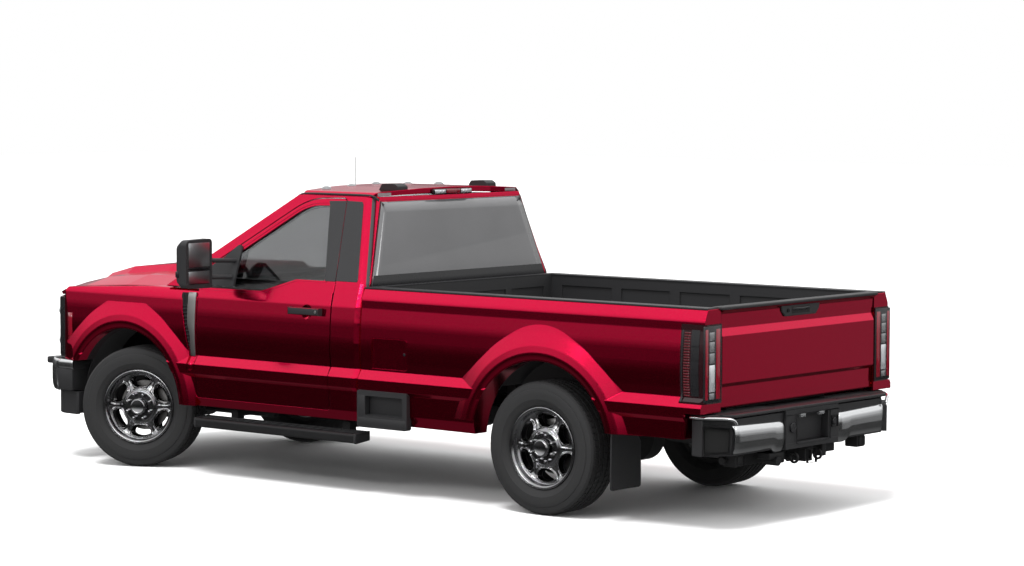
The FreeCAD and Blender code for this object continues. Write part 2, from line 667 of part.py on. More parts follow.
# roof with its lamps and pods
rj = roof_join
roof_section = [(-roof_y + 46, rj), (-roof_y, rj), (-roof_y + 42, rj + 28, 60), (-300, rj + 46, 600), (0, s["roof_z"]), (300, rj + 46, 600),
                (roof_y - 42, rj + 28, 60), (roof_y, rj), (roof_y - 46, rj), (roof_y - 102, rj + 4, 60), (0, rj + 18, 900), (102 - roof_y, rj + 4, 60)]
roof_block = prism("roof_block", "x", roof_section, -80, 660)
roof_plan = prism("roof_plan", "z", [(roof_rear_x - 6, roof_y, 50), (roof_rear_x - 30, 400, 300), (roof_rear_x - 36, 0), (roof_rear_x - 30, -400, 300),
                                     (roof_rear_x - 6, -roof_y, 50), (560, -roof_y), (640, -400, 300), (655, 0), (640, 400, 300),
                                     (560, roof_y)], 1800, 1950)
roof_lamp_boxes = [box("roof_lamp_%d" % i, 560 - abs(y) * 0.12, 610 - abs(y) * 0.12, y - 30, y + 30, rj + 22, rj + 58 - abs(y) * 0.03)
                   for i, y in enumerate((-560, -280, 0, 280, 560))]
stop_lamp = box("stop_lamp", -96, -56, -190, 190, rj + 2, rj + 38)
node("roof", cut("roof_shape", common("roof_solid", roof_block, roof_plan), stop_lamp, *roof_lamp_boxes))
node("roof_lamps", fuse("roof_lamps_whole", stop_lamp, *roof_lamp_boxes))

# cab back wall with its window
wall_in = cab_back + 44
back_panel = prism("back_panel", "x", [(-inner_y, 560), (inner_y, 560), (inner_y, 1240), (inner_belt_y, belt), (roof_y - 46, rj),
                                       (-roof_y + 46, rj), (-inner_belt_y, belt), (-inner_y, 1240)], -200, 100)
back_side = prism("back_side", "y", [(cab_back, 560), (cab_back, belt), (roof_rear_x - 36, rj), (roof_rear_x, rj), (wall_in, belt),
                                     (wall_in, 560)], -inner_y - 45, inner_y + 45)
low_half, high_half = inner_belt_y - 94, roof_y - 110
back_glass = [(-low_half, belt + 26, 40), (low_half, belt + 26, 40), (high_half, rj - 68, 40), (-high_half, rj - 68, 40)]
back_hole = prism("back_window_hole", "x", back_glass, -200, 100)
node("cab_back", cut("cab_back_shape", common("cab_back_solid", back_panel, back_side), back_hole))

# cab floor, front wall and cowl
inner = inner_y
wall_x = s["door_front_x"]
floor_plate = box("floor_plate", wall_in, wall_x, -inner, inner, "floor_z", s["floor_z"] + s["floor_thick"])
tunnel = prism("tunnel", "x", [(-210, 600), (210, 600), (170, 840, 40), (-170, 840, 40)], 620, wall_x)
hollow = prism("tunnel_hollow", "x", [(-180, 540), (180, 540), (150, 815, 40), (-150, 815, 40)], 600, wall_x + 8)
node("cab_floor", cut("cab_floor_shape", fuse("cab_floor_solid", floor_plate, tunnel), hollow))
front_wall = prism("front_wall", "x", [(-inner, 560), (inner, 560), (inner, 1200), (-inner, 1200)], wall_x, wall_x + 98)
wall_hollow = prism("wall_hollow", "x", [(-175, 540), (175, 540), (150, 815, 40), (-150, 815, 40)], wall_x - 12, wall_x + 108)
cowl_line = [(wall_x, 1130), (1400, 1130), (1600, 1184), (1616, 1192), (1616, 1208), (1604, 1231), (1590, 1235), (wall_x, 1200)]
cowl = prism("cowl", "y", cowl_line, -inner, inner)
vent = prism("cowl_vent", "y", [(1613, 1236), (1549, 1276), (1622, 1286, 6), (1622, 1196), (1608, 1196)], -390, 390)
hinge_x, hinge_z, hinge_r = s["hood_hinge_x"], s["hood_hinge_z"], s["hood_pin_radius"]
hinge_y = s["hood_half"] - 93
hinge_wide, hinge_step = 14.0, 22.0
brackets = []
for i, side in enumerate((1, -1)):
    lo, hi = sorted((side * (hinge_y + hinge_step), side * (hinge_y + hinge_step + hinge_wide)))
    plate = prism("cowl_ear_%d" % i, "y", [(hinge_x - 52, hinge_z - 12), (hinge_x + 12, hinge_z - 12), (hinge_x + 12, hinge_z + 10),
                                           (hinge_x - 10, hinge_z + 10), (hinge_x - 16, hinge_z - 3), (hinge_x - 52, hinge_z - 3)], lo, hi)
    brackets.append(cut("cowl_ear_bored_%d" % i, plate,
                        barrel("cowl_ear_hole_%d" % i, hinge_x, hinge_z, hinge_r + s["fit_gap"], lo - 5, hi + 5)))
vent_cut = prism("cowl_vent_trim", "y", [(1606, 1237.3), (606, 1867), (560, 1700), (1606, 1100)], 1 - inner_y, inner_y - 1)
node("firewall", fuse("firewall_shape", cut("firewall_wall", fuse("firewall_solid", front_wall, cowl), wall_hollow),
                      cut("cowl_vent_shape", vent, vent_cut), *brackets))

# fixed glass
screen = prism("screen_side", "y", [(1610, 1234), (606, 1866), (600, 1858), (1600, 1228)], 1 - inner_y, inner_y - 1)
screen_front = prism("screen_front", "x", [(-inner_y + 1, 1241), (inner_y - 1, 1241), (inner_belt_y, belt), (roof_y - 46, rj - 1),
                                           (-roof_y + 46, rj - 1), (-inner_belt_y, belt), (-inner_y + 1, 1241)][:6], 500, 1700)
wind = common("windscreen_shape", screen, screen_front)
rear_pane = common("rear_pane_shape",
                   prism("rear_pane_side", "y", [(cab_back + pane, belt), (roof_rear_x - 31, rj), (roof_rear_x - 25, rj),
                                                 (cab_back + 2 * pane, belt)], -inner_y - 45, inner_y + 45),
                   prism("rear_pane_front", "x", grown(back_glass, -0.5), -200, 100))
glass = doc.addObject("Part::Compound", "cab_glass_whole")
glass.Links = [wind, rear_pane]
node("cab_glass", glass)

# cab inside
dash_line = [(wall_x, 850), (wall_x, 1200), (1180, 1190, 60), (1010, 1110, 60), (1000, 960, 40), (1120, 850, 40)]
dash = prism("dashboard_shape", "y", dash_line, inset(136) * -1, inset(136))
STEER_AT, STEER_TILT, COLUMN_R = V(890, 400, 1075), FreeCAD.Rotation(V(0, 1, 0), -62), 22.0
column_well = rod("column_well", (0, 0, -160), (0, 0, 0), COLUMN_R + gap_fit)
column_well.Placement = FreeCAD.Placement(STEER_AT, STEER_TILT).multiply(FreeCAD.Placement(V(0, 0, -160), FreeCAD.Rotation()))
node("dashboard", cut("dashboard_whole", dash, column_well))
seat_half = 700.0
seat_base = prism("seat_base", "y", [(60, 600), (40, 930, 30), (560, 960, 60), (560, 760, 40), (500, 600)], -seat_half, seat_half)
seat_back = prism("seat_back", "y", [(-95, 900, 20), (-100, 1420, 60), (10, 1420, 60), (180, 900, 40)], -seat_half, seat_half)
rests = []
for i, y in enumerate((430, -430)):
    rest = prism("headrest_%d" % i, "x", [(y - 130, 1430, 30), (y + 130, 1430, 30), (y + 110, 1600, 50), (y - 110, 1600, 50)], -80, 10)
    rests += [rest] + [rod("headrest_post_%d%d" % (i, k), (-40, y + step, 1400), (-40, y + step, 1440), 7) for k, step in enumerate((-60, 60))]
node("seat", fuse("seat_whole", seat_base, seat_back, *rests))
ring = doc.addObject("Part::Torus", "steering_ring")
ring.Radius1, ring.Radius2 = 190, 14
hub_cap = rod("steering_hub", (0, 0, -30), (0, 0, 12), 62)
spoke = [box("steering_spoke_a", -186, 186, -22, 18, -12, 4), box("steering_spoke_b", -22, 22, -186, 0, -12, 4)]
column = rod("steering_column", (0, 0, -150), (0, 0, -20), COLUMN_R)
steer = fuse("steering_whole", ring, hub_cap, column, *spoke)
steer.Placement = FreeCAD.Placement(STEER_AT, STEER_TILT.multiply(FreeCAD.Rotation(V(0, 0, 1), -90)))
node("steering_wheel", steer)

# arch flares: a lip that leans in to the arch and a soft run out to the panel
fl = s["flare_radius"]
run = s["flare_run"]
flare_profile = [(inset(76), 0), (inset(12), 0), (inset(12), fl - 84), (inset(0), fl - 58, 60), (inset(9), fl, 60),
                 (inset(34), fl + run, 160), (inset(48), fl + run + 60), (inset(76), fl + run + 60)]


def flare(name, x, low_z):
    disc = spun(name, flare_profile)
    disc.Placement = FreeCAD.Placement(V(x, 0, R), FreeCAD.Rotation())
    return cut(name + "_trimmed", disc, box(name + "_floor", x - 800, x + 800, inset(116), far_side, -500, low_z))


# wings, with a recess for the vent behind the arch
wing_low = side_face + [(inset(76), 1226, 40), (inset(156), 1236), (inset(156), skin_base)]
wing_block = prism("wing_block", "x", wing_low, wall_x, 2640)
shelf = s["bumper_top_z"] + gap_fit
wing_line = [(wall_x, s["sill_z"]), (wall_x, 1250), (2560, 1190), (2600, 1150), (2600, shelf), (2300, shelf), (2300, s["sill_z"])]
wing_outline = prism("wing_outline", "y", wing_line, 500, far_side)
wing_plan = prism("wing_plan", "z", [(1200, 700), (1200, far_side), (2380, far_side), (2400, inset(4), 200), (2560, inset(31), 300),
                                     (2660, inset(86)), (2660, 700), (2600, 700)], 300, 1300)
wing_arch = barrel("wing_arch", FX, R, "arch_radius", 700, far_side)
flare_keep = prism("flare_front_keep", "y", [(wall_x, s["sill_z"]), (wall_x, 1110), (2600, 1110), (2600, shelf), (2300, shelf),
                                             (2300, s["sill_z"])], inset(116), far_side)
vent_recess = prism("vent_recess", "y", [(1316, 1212, 6), (1444, 1196, 20), (1434, 1080, 60), (1352, 704), (1336, 694), (1316, 702)],
                    inset(48), far_side)
wing_solid = fuse("wing_solid", common("wing_common", wing_block, wing_outline, wing_plan),
                  common("flare_front_trim", flare("flare_front", FX, s["sill_z"]), flare_keep, wing_plan))
wing_left = cut("fender_left", wing_solid, wing_arch, vent_recess,
                box("fender_inner_trim", 1290, 1662, 700, inner_y, 400, 1300))
MAST = (1626, -(inset(88)))
mast_foot = rod("antenna_foot", (MAST[0], MAST[1], 1222), (MAST[0], MAST[1], 1242), 10)
mast = rod("antenna_mast", (MAST[0], MAST[1], 1224), (MAST[0], MAST[1], 2060), 3)
node("antenna", fuse("antenna_whole", mast_foot, mast))
wings = doc.addObject("Part::Compound", "fenders_whole")
wings.Links = [wing_left, cut("fender_right", mirrored("fender_right_plain", wing_left), mast_foot)]
node("fenders", wings)

# hood
hood_thick = s["hood_thick"]


def hood_outline(wide, edge, shoulder, root, crest, middle):
    half_line = [(s["hood_half"], edge), (640, shoulder), (470, root), (400, crest), (0, middle)]
    pts = [(-y * wide, z) for y, z in half_line] + [(y * wide, z) for y, z in reversed(half_line[:-1])]
    low = [(y * wide - math.copysign(hood_thick * 0.6, y) if abs(y) > 700 else y * wide, max(z - hood_thick, 1113)) for y, z in half_line]
    return pts + low + [(-y, z) for y, z in reversed(low[:-1])]


hood_skin = loft("hood_shape", [
    (s["hood_rear_x"], hood_outline(1.0, 1232, 1286, 1298, 1344, 1352)),
    (2100, hood_outline(1.0, 1216, 1276, 1290, 1338, 1346)),
    (2500, hood_outline(0.995, 1194, 1244, 1258, 1304, 1312)),
    (2740, hood_outline(0.97, 1156, 1196, 1208, 1246, 1252)),
    (2820, hood_outline(0.93, 1134, 1160, 1168, 1198, 1204)),
    (2856, hood_outline(0.86, 1124, 1136, 1140, 1150, 1154)),
])
ear_line = [(hinge_x - 10, hinge_z - 12), (hinge_x + 60, hinge_z - 12), (hinge_x + 60, 1236), (hinge_x - 8, 1236)]
hinge_bits = []
for i, side in enumerate((1, -1)):
    lo, hi = sorted((side * hinge_y, side * (hinge_y + hinge_wide)))
    hinge_bits.append(prism("hood_ear_%d" % i, "y", ear_line, lo, hi))
    lo, hi = sorted((side * hinge_y, side * (hinge_y + 38)))
    hinge_bits.append(barrel("hood_pin_%d" % i, hinge_x, hinge_z, "hood_pin_radius", lo, hi))
node("hood", fuse("hood_whole", hood_skin, *hinge_bits))

# grille: a frame round two openings, with bars across each
gw = s["grille_half"]
grille_low, grille_high = s["bumper_top_z"] + 4, 1110.0
grille_face = prism("grille_face", "z", [(2700, -gw), (2850, -gw, 40), (2876, -300, 300), (2882, 0), (2876, 300, 300), (2850, gw, 40),
                                         (2700, gw)], grille_low, grille_high)
support = box("radiator_support", 2655, 2702, -560, 560, 620 + gap_fit, 1090)
mouths = [box("grille_mouth_%d" % i, 2765, 2900, -gw + 56, gw - 56, z0, z1) for i, (z0, z1) in enumerate(((736, 874), (916, 1062)))]
bars = [box("grille_bar_%d" % i, 2764, 2838, -gw + 50, gw - 50, z, z + 14) for i, z in enumerate((768, 800, 832, 948, 982, 1016))]
posts = [box("grille_post_%d" % i, 2764, 2826, y - 8, y + 8, 730, 1070) for i, y in enumerate((-440, -220, 0, 220, 440))]
node("grille", fuse("grille_whole", cut("grille_frame", grille_face, *mouths), support, *(bars + posts)))
lamp = prism("headlamp_plan", "z", [(2600, 860), (2600, inset(61), 20), (2720, inset(116), 100), (2815, inset(246), 100), (2849, gw + gap_fit),
                                    (2700, gw + gap_fit)], grille_low, grille_high)
node("headlamps", both("headlamps_whole", lamp))


def wrap_outline(side_x, corner, front, ends, mid, thick_side, thick_front):
    # bar that runs across the nose and back along both sides
    half_out = [(side_x, ends, 10), (2640, ends - 4, 120), (corner, ends - 104, 200), (mid, ends - 444, 500)]
    half_in = [(side_x, ends - thick_side), (2640, ends - thick_side - 20, 100), (corner - 60, ends - 204, 150),
               (mid - thick_front, ends - 504, 300)]
    out = half_out + [(front, 0)] + [(p[0], -p[1]) + tuple(p[2:]) for p in reversed(half_out)]
    back = [(p[0], -p[1]) + tuple(p[2:]) for p in half_in] + [(front - thick_front - 14, 0)] + list(reversed(half_in))
    return out + back


bumper = prism("front_bumper_shape", "z", wrap_outline(2484, 2800, 2944, inset(12), 2900, 64, 80), "bumper_bottom_z", "bumper_top_z")
bumper_mouths = [box("bumper_intake", 2700, 2960, -430, 430, 500, 596)]
bumper_mouths += [box("fog_lamp_hole_%d" % i, 2700, 2960, *sorted((side * 560, side * 700)), 510, 600) for i, side in enumerate((1, -1))]
node("front_bumper", cut("front_bumper_cut", bumper, *bumper_mouths))
valance_plan = [(2490, 960), (2640, 950, 120), (2780, 860, 200), (2860, 500, 400), (2880, 0), (2860, -500, 400), (2780, -860, 200),
                (2640, -950, 120), (2490, -960), (2490, -930), (2620, -920, 100), (2750, -830, 150), (2820, -500, 300), (2840, 0),
                (2820, 500, 300), (2750, 830, 150), (2620, 920, 100), (2490, 930)]
node("front_valance", prism("front_valance_shape", "z", valance_plan, 310, "bumper_bottom_z"))

# cargo box sides
bx0, bx1 = s["box_rear_x"], s["box_front_x"]
bi, rail = s["box_inner_y"], s["rail_z"]
rail_out = bi + 88
bed_section = side_face + [(inset(48), 1240, 60), (rail_out, rail), (bi, rail), (bi, skin_base)]
bed_block = side_block("bed_block", bx0, bx1, bed_section)
bed_tail_z = 545.0
bed_line = [(bx0, 700), (bx0, rail), (bx1, rail), (bx1, s["sill_z"]), (RX + 525, skin_base), (RX - 515, bed_tail_z),
            (bx0 + 135, bed_tail_z), (bx0 + 120, 700)]
bed_outline = prism("bed_outline", "y", bed_line, 640, far_side)
bed_arch = barrel("bed_arch", RX, R, "arch_radius", 640, far_side)
post = box("bed_corner_post", bx0, bx0 + 62, "gate_side_y", bi + 4, 700, "rail_z")
bed_side_solid = fuse("bed_side_solid", common("bed_common", bed_block, bed_outline), flare("flare_rear", RX, bed_tail_z - 5), post)
lamp_in = bi - 38
lamp_x = s["lamp_front_x"]
lamp_box = box("lamp_box", bx0 - 10, "lamp_front_x", lamp_in, inset(-4), "lamp_bottom_z", "lamp_top_z")
wall_panels = [box("bed_wall_panel_%d" % i, x0, x1, bi - 10, bi + 9, 930, 1236)
               for i, (x0, x1) in enumerate(((-2630, -2270), (-2190, -1790), (-1710, -1310), (-1230, -830), (-750, -330)))]
step_x0, step_x1, step_z0, step_z1 = -588.0, -170.0, 432.0, 668.0
step_edge = [(step_x1, step_z0, 20), (step_x1, step_z1, 16), (step_x0, step_z1, 16), (step_x0, step_z0, 20)]
step_mouth = [(-238, 509, 10), (-238, 634, 10), (-550, 634, 10), (-550, 509, 10)]
step_seat = prism("step_seat", "y", grown(step_edge, gap_fit), inset(54), far_side)
step_hole = prism("step_recess", "y", grown(step_mouth, 4), inset(136), far_side)
gate_hole = barrel("gate_pin_hole", s["gate_hinge_x"], s["gate_hinge_z"], s["gate_pin_radius"] + s["fit_gap"], s["gate_half"] - 13,
                   bi - 18)
plain_side = cut("bed_side_plain", bed_side_solid, bed_arch, lamp_box, step_seat, step_hole, gate_hole, *wall_panels)
FUEL = (cab_back - 115.0, inset(40))
fuel_x0, fuel_x1, fuel_z0, fuel_z1 = FUEL[0] - 288, FUEL[0], 806.0, 1000.0
fuel_hole = prism("fuel_recess", "y", [(fuel_x1, fuel_z0), (fuel_x1, fuel_z1), (fuel_x0, fuel_z1, 22), (fuel_x0, fuel_z0, 22)],
                  inset(58), far_side)
fuel_well = rod("fuel_hinge_well", (FUEL[0], FUEL[1], fuel_z0), (FUEL[0], FUEL[1], fuel_z1), 7.3)
fuel_relief = box("fuel_hinge_relief", FUEL[0] - 1, FUEL[0] + 7.3, FUEL[1], far_side, fuel_z0, fuel_z1)
filler_pot = barrel("filler_pot", FUEL[0] - 150, 903, 66, inset(122), inset(56))
filler_cap = barrel("filler_cap", FUEL[0] - 150, 903, 40, inset(126), inset(76))
left_side = fuse("bed_side_left", cut("bed_side_left_cut", plain_side, fuel_hole, fuel_well, fuel_relief, filler_pot), filler_cap)
sides = doc.addObject("Part::Compound", "bed_sides_whole")
sides.Links = [left_side, mirrored("bed_side_right", plain_side)]
node("bed_sides", sides)

# tail lamps, let into the rear corners
lz0, lz1 = s["lamp_bottom_z"] + gap_fit, s["lamp_top_z"] - gap_fit
lamp_stub = box("lamp_stub", bx0 - 8, bx0 + 62 - gap_fit, lamp_in + gap_fit, bi + 2, lz0, lz1)
lamp_section = side_face + [(inset(48), 1240, 60), (rail_out, rail), (bi + gap_fit, rail), (bi + gap_fit, skin_base)]
lamp_corner = prism("lamp_corner", "z", [(bx0 - 8, bi - 60), (bx0 - 8, inset(26), 34), (lamp_x + 20, inset(26)), (lamp_x + 20, bi - 60)],
                    700, 1260)
lamp_solid = common("lamp_common", box("lamp_fill", bx0 - 8, lamp_x - gap_fit, bi + gap_fit, inset(-4), lz0, lz1),
                    side_block("lamp_block", bx0 - 20, lamp_x + 20, lamp_section), lamp_corner)
node("tail_lamps", both("tail_lamps_whole", fuse("tail_lamp_left", lamp_solid, lamp_stub)))

# cargo box floor, front wall and wheelhouses
floor_z, floor_t, wall_t = s["box_floor_z"], s["box_floor_thick"], s["box_wall"]
bed_floor = box("bed_floor_plate", bx0 + 70, "box_front_x", -bi, bi, floor_z - floor_t, floor_z)
bed_front = box("bed_front_wall", bx1 - wall_t, "box_front_x", -bi, bi, floor_z - floor_t, "rail_z")
houses, arches = [], []
for i, side in enumerate((1, -1)):
    lo, hi = sorted((side * s["wheelhouse_y"], side * bi))
    h = barrel("wheelhouse_%d" % i, RX, R, "wheelhouse_radius", lo, hi)
    keep = box("wheelhouse_keep_%d" % i, RX - 600, RX + 600, lo - 1, hi + 1, floor_z - floor_t, 1100)
    houses.append(common("wheelhouse_top_%d" % i, h, keep))
    lo2, hi2 = sorted((side * (s["wheelhouse_y"] + 20), side * (bi + 5)))
    arches.append(barrel("wheelhouse_hollow_%d" % i, RX, R, "arch_radius", lo2, hi2))
sill_beams = []
rail_top, cross_low = s["rail_outer_y"] - 2, 722.0
for i, (x, z) in enumerate(((-520, 640), (-1010, 640), (-1500, 715), (-2340, 650), (-2700, 650))):
    sill_beams.append(box("bed_beam_%d" % i, x, x + 70, -rail_top, rail_top, z + gap_fit, floor_z - floor_t))
    sill_beams.append(box("bed_cross_%d" % i, x, x + 70, -640, 640, cross_low, floor_z - floor_t))
GROOVE_STEP, GROOVE_HALF, GROOVE_DEEP = 140.0, 22.0, 8.0
grooves = [box("floor_groove_%d" % i, bx0 + 130, bx1 - wall_t - 70, y - GROOVE_HALF, y + GROOVE_HALF, floor_z - GROOVE_DEEP, floor_z + 4)
           for i, y in enumerate((k + 0.5) * GROOVE_STEP for k in range(-4, 4))]
wall_fields = [box("front_wall_field_%d" % i, bx1 - wall_t - 4, bx1 - wall_t + 10, y - 170, y + 170, 850, 1230)
               for i, y in enumerate((-600, -200, 200, 600))]
node("bed_floor", cut("bed_floor_shape", fuse("bed_floor_solid", bed_floor, bed_front, *(houses + sill_beams)),
                      *(arches + grooves + wall_fields)))
cap = box("rail_cap_left", bx0 + 2, "box_front_x", bi - 4, rail_out + 6, "rail_z", rail + s["cap_thick"])
front_cap = box("rail_cap_front", bx1 - wall_t, "box_front_x", -bi + 4, bi - 4, "rail_z", rail + s["cap_thick"])
node("rail_caps", fuse("rail_caps_whole", cap, mirrored("rail_cap_right", cap), front_cap))

# tailgate
gate_line = [(bx0 + 62, s["gate_bottom_z"] + 10, 10), (bx0 + 62, 1300), (bx0 - 20, 1308, 8), (bx0 - 14, 1288, 8), (bx0 + 4, 1275, 10),
             (bx0 + 8, 1186), (bx0 - 4, 1140, 6), (bx0 - 4, 860, 8), (bx0 + 14, 845, 8), (bx0 + 16, s["gate_bottom_z"], 10)]
gate = prism("tailgate_shape", "y", gate_line, -s["gate_half"], s["gate_half"])
pin_reach = bi - 22
node("tailgate", fuse("tailgate_whole", gate, barrel("gate_pins", s["gate_hinge_x"], s["gate_hinge_z"], "gate_pin_radius", -pin_reach,
                                                     pin_reach)))

# rear bumper: bright bar with a leaning face, black step pads at its corners and centre
rb = s["rear_bumper_x"]
bar_low, bar_high = 430.0, 672.0
rear_plan = [(rb + 224, 962, 10), (rb + 64, 955, 60), (rb + 19, 860, 60), (rb, 440), (rb, -440), (rb + 19, -860, 60), (rb + 64, -955, 60),
             (rb + 224, -962, 10), (rb + 224, -930), (rb + 94, -925, 50), (rb + 54, -840, 50), (rb + 44, -440), (rb + 44, 440),
             (rb + 54, 840, 50), (rb + 94, 925, 50), (rb + 224, 930)]
rear_face = prism("rear_bumper_face", "z", rear_plan, bar_low, bar_high)
face_lean = prism("rear_bumper_lean", "y", [(rb + 16, bar_high + 1), (rb, bar_high - 60, 60), (rb, bar_low + 110, 60), (rb + 34, bar_low - 1),
                                            (rb + 240, bar_low - 1), (rb + 240, bar_high + 1)], -1000, 1000)
plate_gap = box("plate_gap", rb - 16, rb + 64, -275, 275, 420, 680)
pad_x0, pad_x1, pad_z0, pad_z1 = rb + 70, rb + 226, 424.0, 650.0
pad_gaps = [box("pad_gap_%d" % i, pad_x0, pad_x1, *sorted((side * 900, side * 970)), pad_z0, pad_z1) for i, side in enumerate((1, -1))]
node("rear_bumper", cut("rear_bumper_shape", common("rear_bumper_bar", rear_face, face_lean), plate_gap, *pad_gaps))
step_plan = [(rb + 76, 940, 60), (rb + 222, 952), (rb + 222, -952), (rb + 76, -940, 60), (rb + 32, -850, 40), (rb + 16, -440), (rb + 16, 440),
             (rb + 32, 850, 40)]
step_top = prism("step_top", "z", step_plan, bar_high + gap_fit, 690)
step_centre = box("step_centre", rb + 14, rb + 84, -272, 272, 435, bar_high + 2)
step_hollow = box("plate_hollow", rb - 6, rb + 39, -170, 170, 470, 640)
sockets = [rod("socket_%d" % i, (rb + 4, y, 560), (rb + 34, y, 560), 24) for i, y in enumerate((215, -215))]
pads = []
for i, side in enumerate((1, -1)):
    lo, hi = sorted((side * (900 + gap_fit), side * 966))
    pad = box("corner_pad_%d" % i, pad_x0 + gap_fit, pad_x1 - 4, lo, hi, pad_z0 + 10, pad_z1 - gap_fit)
    lo, hi = sorted((side * 918, side * 980))
    pads.append(cut("corner_pad_shape_%d" % i, pad, box("corner_pocket_%d" % i, pad_x0 + 24, pad_x1 - 28, lo, hi, pad_z0 + 48, pad_z1 - 36)))
node("rear_bumper_step", fuse("rear_step_whole", cut("rear_bumper_step_shape", fuse("step_solid", step_top, step_centre), step_hollow),
                              *(pads + sockets)))

# steps, boards, liners, flaps and the fuel door
board_x0, board_x1 = cab_back + 5, wall_x - 12
board = prism("running_board_shape", "x", [(inset(136), 392, 10), (inset(136), 330, 12), (inset(4), 318, 16), (inset(-4), 380, 16)],
              board_x0, board_x1)
slots = [box("board_slot_%d" % i, x, x + 40, inset(110), inset(30), 382, 400) for i, x in enumerate(range(80, 1120, 80))]
drops = []
for i, x in enumerate((0, 1000)):
    drops.append(box("board_drop_%d" % i, x, x + 60, inset(176), inset(116), 380, 440))
    drops.append(box("board_hanger_%d" % i, x, x + 60, "rail_outer_y", inset(116), 400, 440))
node("running_boards", both("running_boards_whole", fuse("running_board_left", cut("running_board_treads", board, *slots), *drops)))
step_plate = prism("box_step_plate", "y", step_edge, inset(40), inset(-4), holes=[step_mouth])
step_tray = prism("box_step_tray", "x", [(inset(135.7), 505.3), (inset(135.7), 632), (inset(130), 632), (inset(130), 513), (inset(2), 513),
                                         (inset(2), 505.3)], step_x0 + 50, step_x1 - 80)
node("box_steps", both("box_steps_whole", fuse("box_step_left", step_plate, step_tray)))
liner = cut("liner_ring", barrel("liner_disc", FX, R, s["arch_radius"] + 15, 640, 860 - gap_fit),
            barrel("liner_hollow", FX, R, s["arch_radius"] + 1, 600, 900),
            box("liner_low", FX - 700, FX + 700, 600, 900, -300, 460))
flap_high = bed_tail_z - 5 - gap_fit


def mud_flap(name, reach):
    # thin plate behind the rear wheel, from the body's side inwards
    return prism(name, "x", [(inset(reach), 196, 20), (inset(28), 196, 20), (inset(34), flap_high), (inset(reach - 60), flap_high),
                             (inset(reach), 470, 10)], RX - 547, RX - 537)


liners = doc.addObject("Part::Compound", "wheel_liners_whole")
liners.Links = [liner, mirrored("liner_right", liner), mud_flap("mud_flap_left", 320), mirrored("mud_flap_right", mud_flap("mud_flap_narrow", 180))]
node("wheel_liners", liners)
fuel_plate = prism("fuel_door_plate", "y", [(fuel_x1 - 2, fuel_z0 + 2), (fuel_x1 - 2, fuel_z1 - 2), (fuel_x0 + 3, fuel_z1 - 2, 20),
                                            (fuel_x0 + 3, fuel_z0 + 2, 20)], inset(54), inset(38))
fuel_pin = rod("fuel_hinge_pin", (FUEL[0], FUEL[1], fuel_z0 + 2), (FUEL[0], FUEL[1], fuel_z1 - 2), 7)
node("fuel_door", fuse("fuel_door_whole", fuel_plate, fuel_pin))
pod_line = [(-48, 1880), (-44, 1930, 12), (-14, 1946, 20), (92, 1944, 20), (118, 1905), (118, 1880)]
pods = [prism("roof_pod_%d" % i, "y", pod_line, *sorted((side * 396, side * 492))) for i, side in enumerate((1, -1))]
pod_seat = prism("pod_seat", "x", [(-760, 1700)] + [(p[0], p[1] + gap_fit) + tuple(p[2:]) for p in roof_section[1:8]] + [(760, 1700)],
                 -80, 660)
node("roof_pods", cut("roof_pods_shape", fuse("roof_pods_whole", *pods), pod_seat))

doc.recompute()
trouble = 0
for o in doc.Objects:
    if any(k in o.State for k in ("Invalid", "Error")):
        print("state", o.Name, o.State)
        trouble += 1
os.makedirs("parts", exist_ok=True)
for name, obj in parts.items():
    shape = obj.Shape
    if shape.isNull() or not shape.isValid() or not shape.Solids:
        print("bad shape", name)
        trouble += 1
        continue
    shape.exportStep(os.path.join("parts", name + ".step"))
print("nodes", len(parts), "trouble", trouble)
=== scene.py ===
import math
import bmesh
import bpy
from mathutils import Matrix, Vector


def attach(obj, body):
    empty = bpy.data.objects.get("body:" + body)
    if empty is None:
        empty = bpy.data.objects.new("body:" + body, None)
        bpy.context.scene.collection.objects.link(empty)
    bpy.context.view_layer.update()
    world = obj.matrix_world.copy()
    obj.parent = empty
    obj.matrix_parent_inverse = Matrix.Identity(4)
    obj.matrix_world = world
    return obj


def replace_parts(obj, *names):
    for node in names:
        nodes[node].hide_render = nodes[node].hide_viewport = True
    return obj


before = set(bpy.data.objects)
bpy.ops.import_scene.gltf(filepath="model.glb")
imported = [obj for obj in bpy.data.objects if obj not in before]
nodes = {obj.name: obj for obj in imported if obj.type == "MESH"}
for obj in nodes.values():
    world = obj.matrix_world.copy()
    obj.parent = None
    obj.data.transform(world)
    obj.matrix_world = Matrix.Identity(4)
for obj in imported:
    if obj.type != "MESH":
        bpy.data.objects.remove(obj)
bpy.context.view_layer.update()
print("frame loaded:", len(nodes), "nodes")

# where the wheels stand and how far they are steered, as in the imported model
axleFront, axleRear, wheelHeight = 1.972, -1.625, 0.4075
kingpinY, spindleReach, rearWheelY = 0.7675, 0.100, 0.8535
steerAngle = math.radians(25.2)
beltHeight = 1.326

socketKinds = {"Colour": "NodeSocketColor", "Normal": "NodeSocketVector"}
multiplied = {"data_type": "RGBA", "blend_type": "MULTIPLY"}


def newGroup(name, inputs, outputs):
    group = bpy.data.node_groups.new(name, "ShaderNodeTree")
    for label, value in inputs.items():
        kind = socketKinds.get(label, "NodeSocketFloat")
        group.interface.new_socket(label, in_out="INPUT", socket_type=kind).default_value = value
    for label in outputs:
        kind = socketKinds.get(label, "NodeSocketFloat")
        group.interface.new_socket(label, in_out="OUTPUT", socket_type=kind)
    return group, group.nodes.new("NodeGroupInput").outputs, group.nodes.new("NodeGroupOutput").inputs


def feed(tree, sockets, values):
    # a socket of another node is linked, anything else is stored as the socket's value
    for label, value in values.items():
        socket = sockets[label.replace("_", " ")] if isinstance(label, str) else sockets[label]
        if isinstance(value, bpy.types.NodeSocket):
            tree.links.new(value, socket)
        else:
            socket.default_value = value


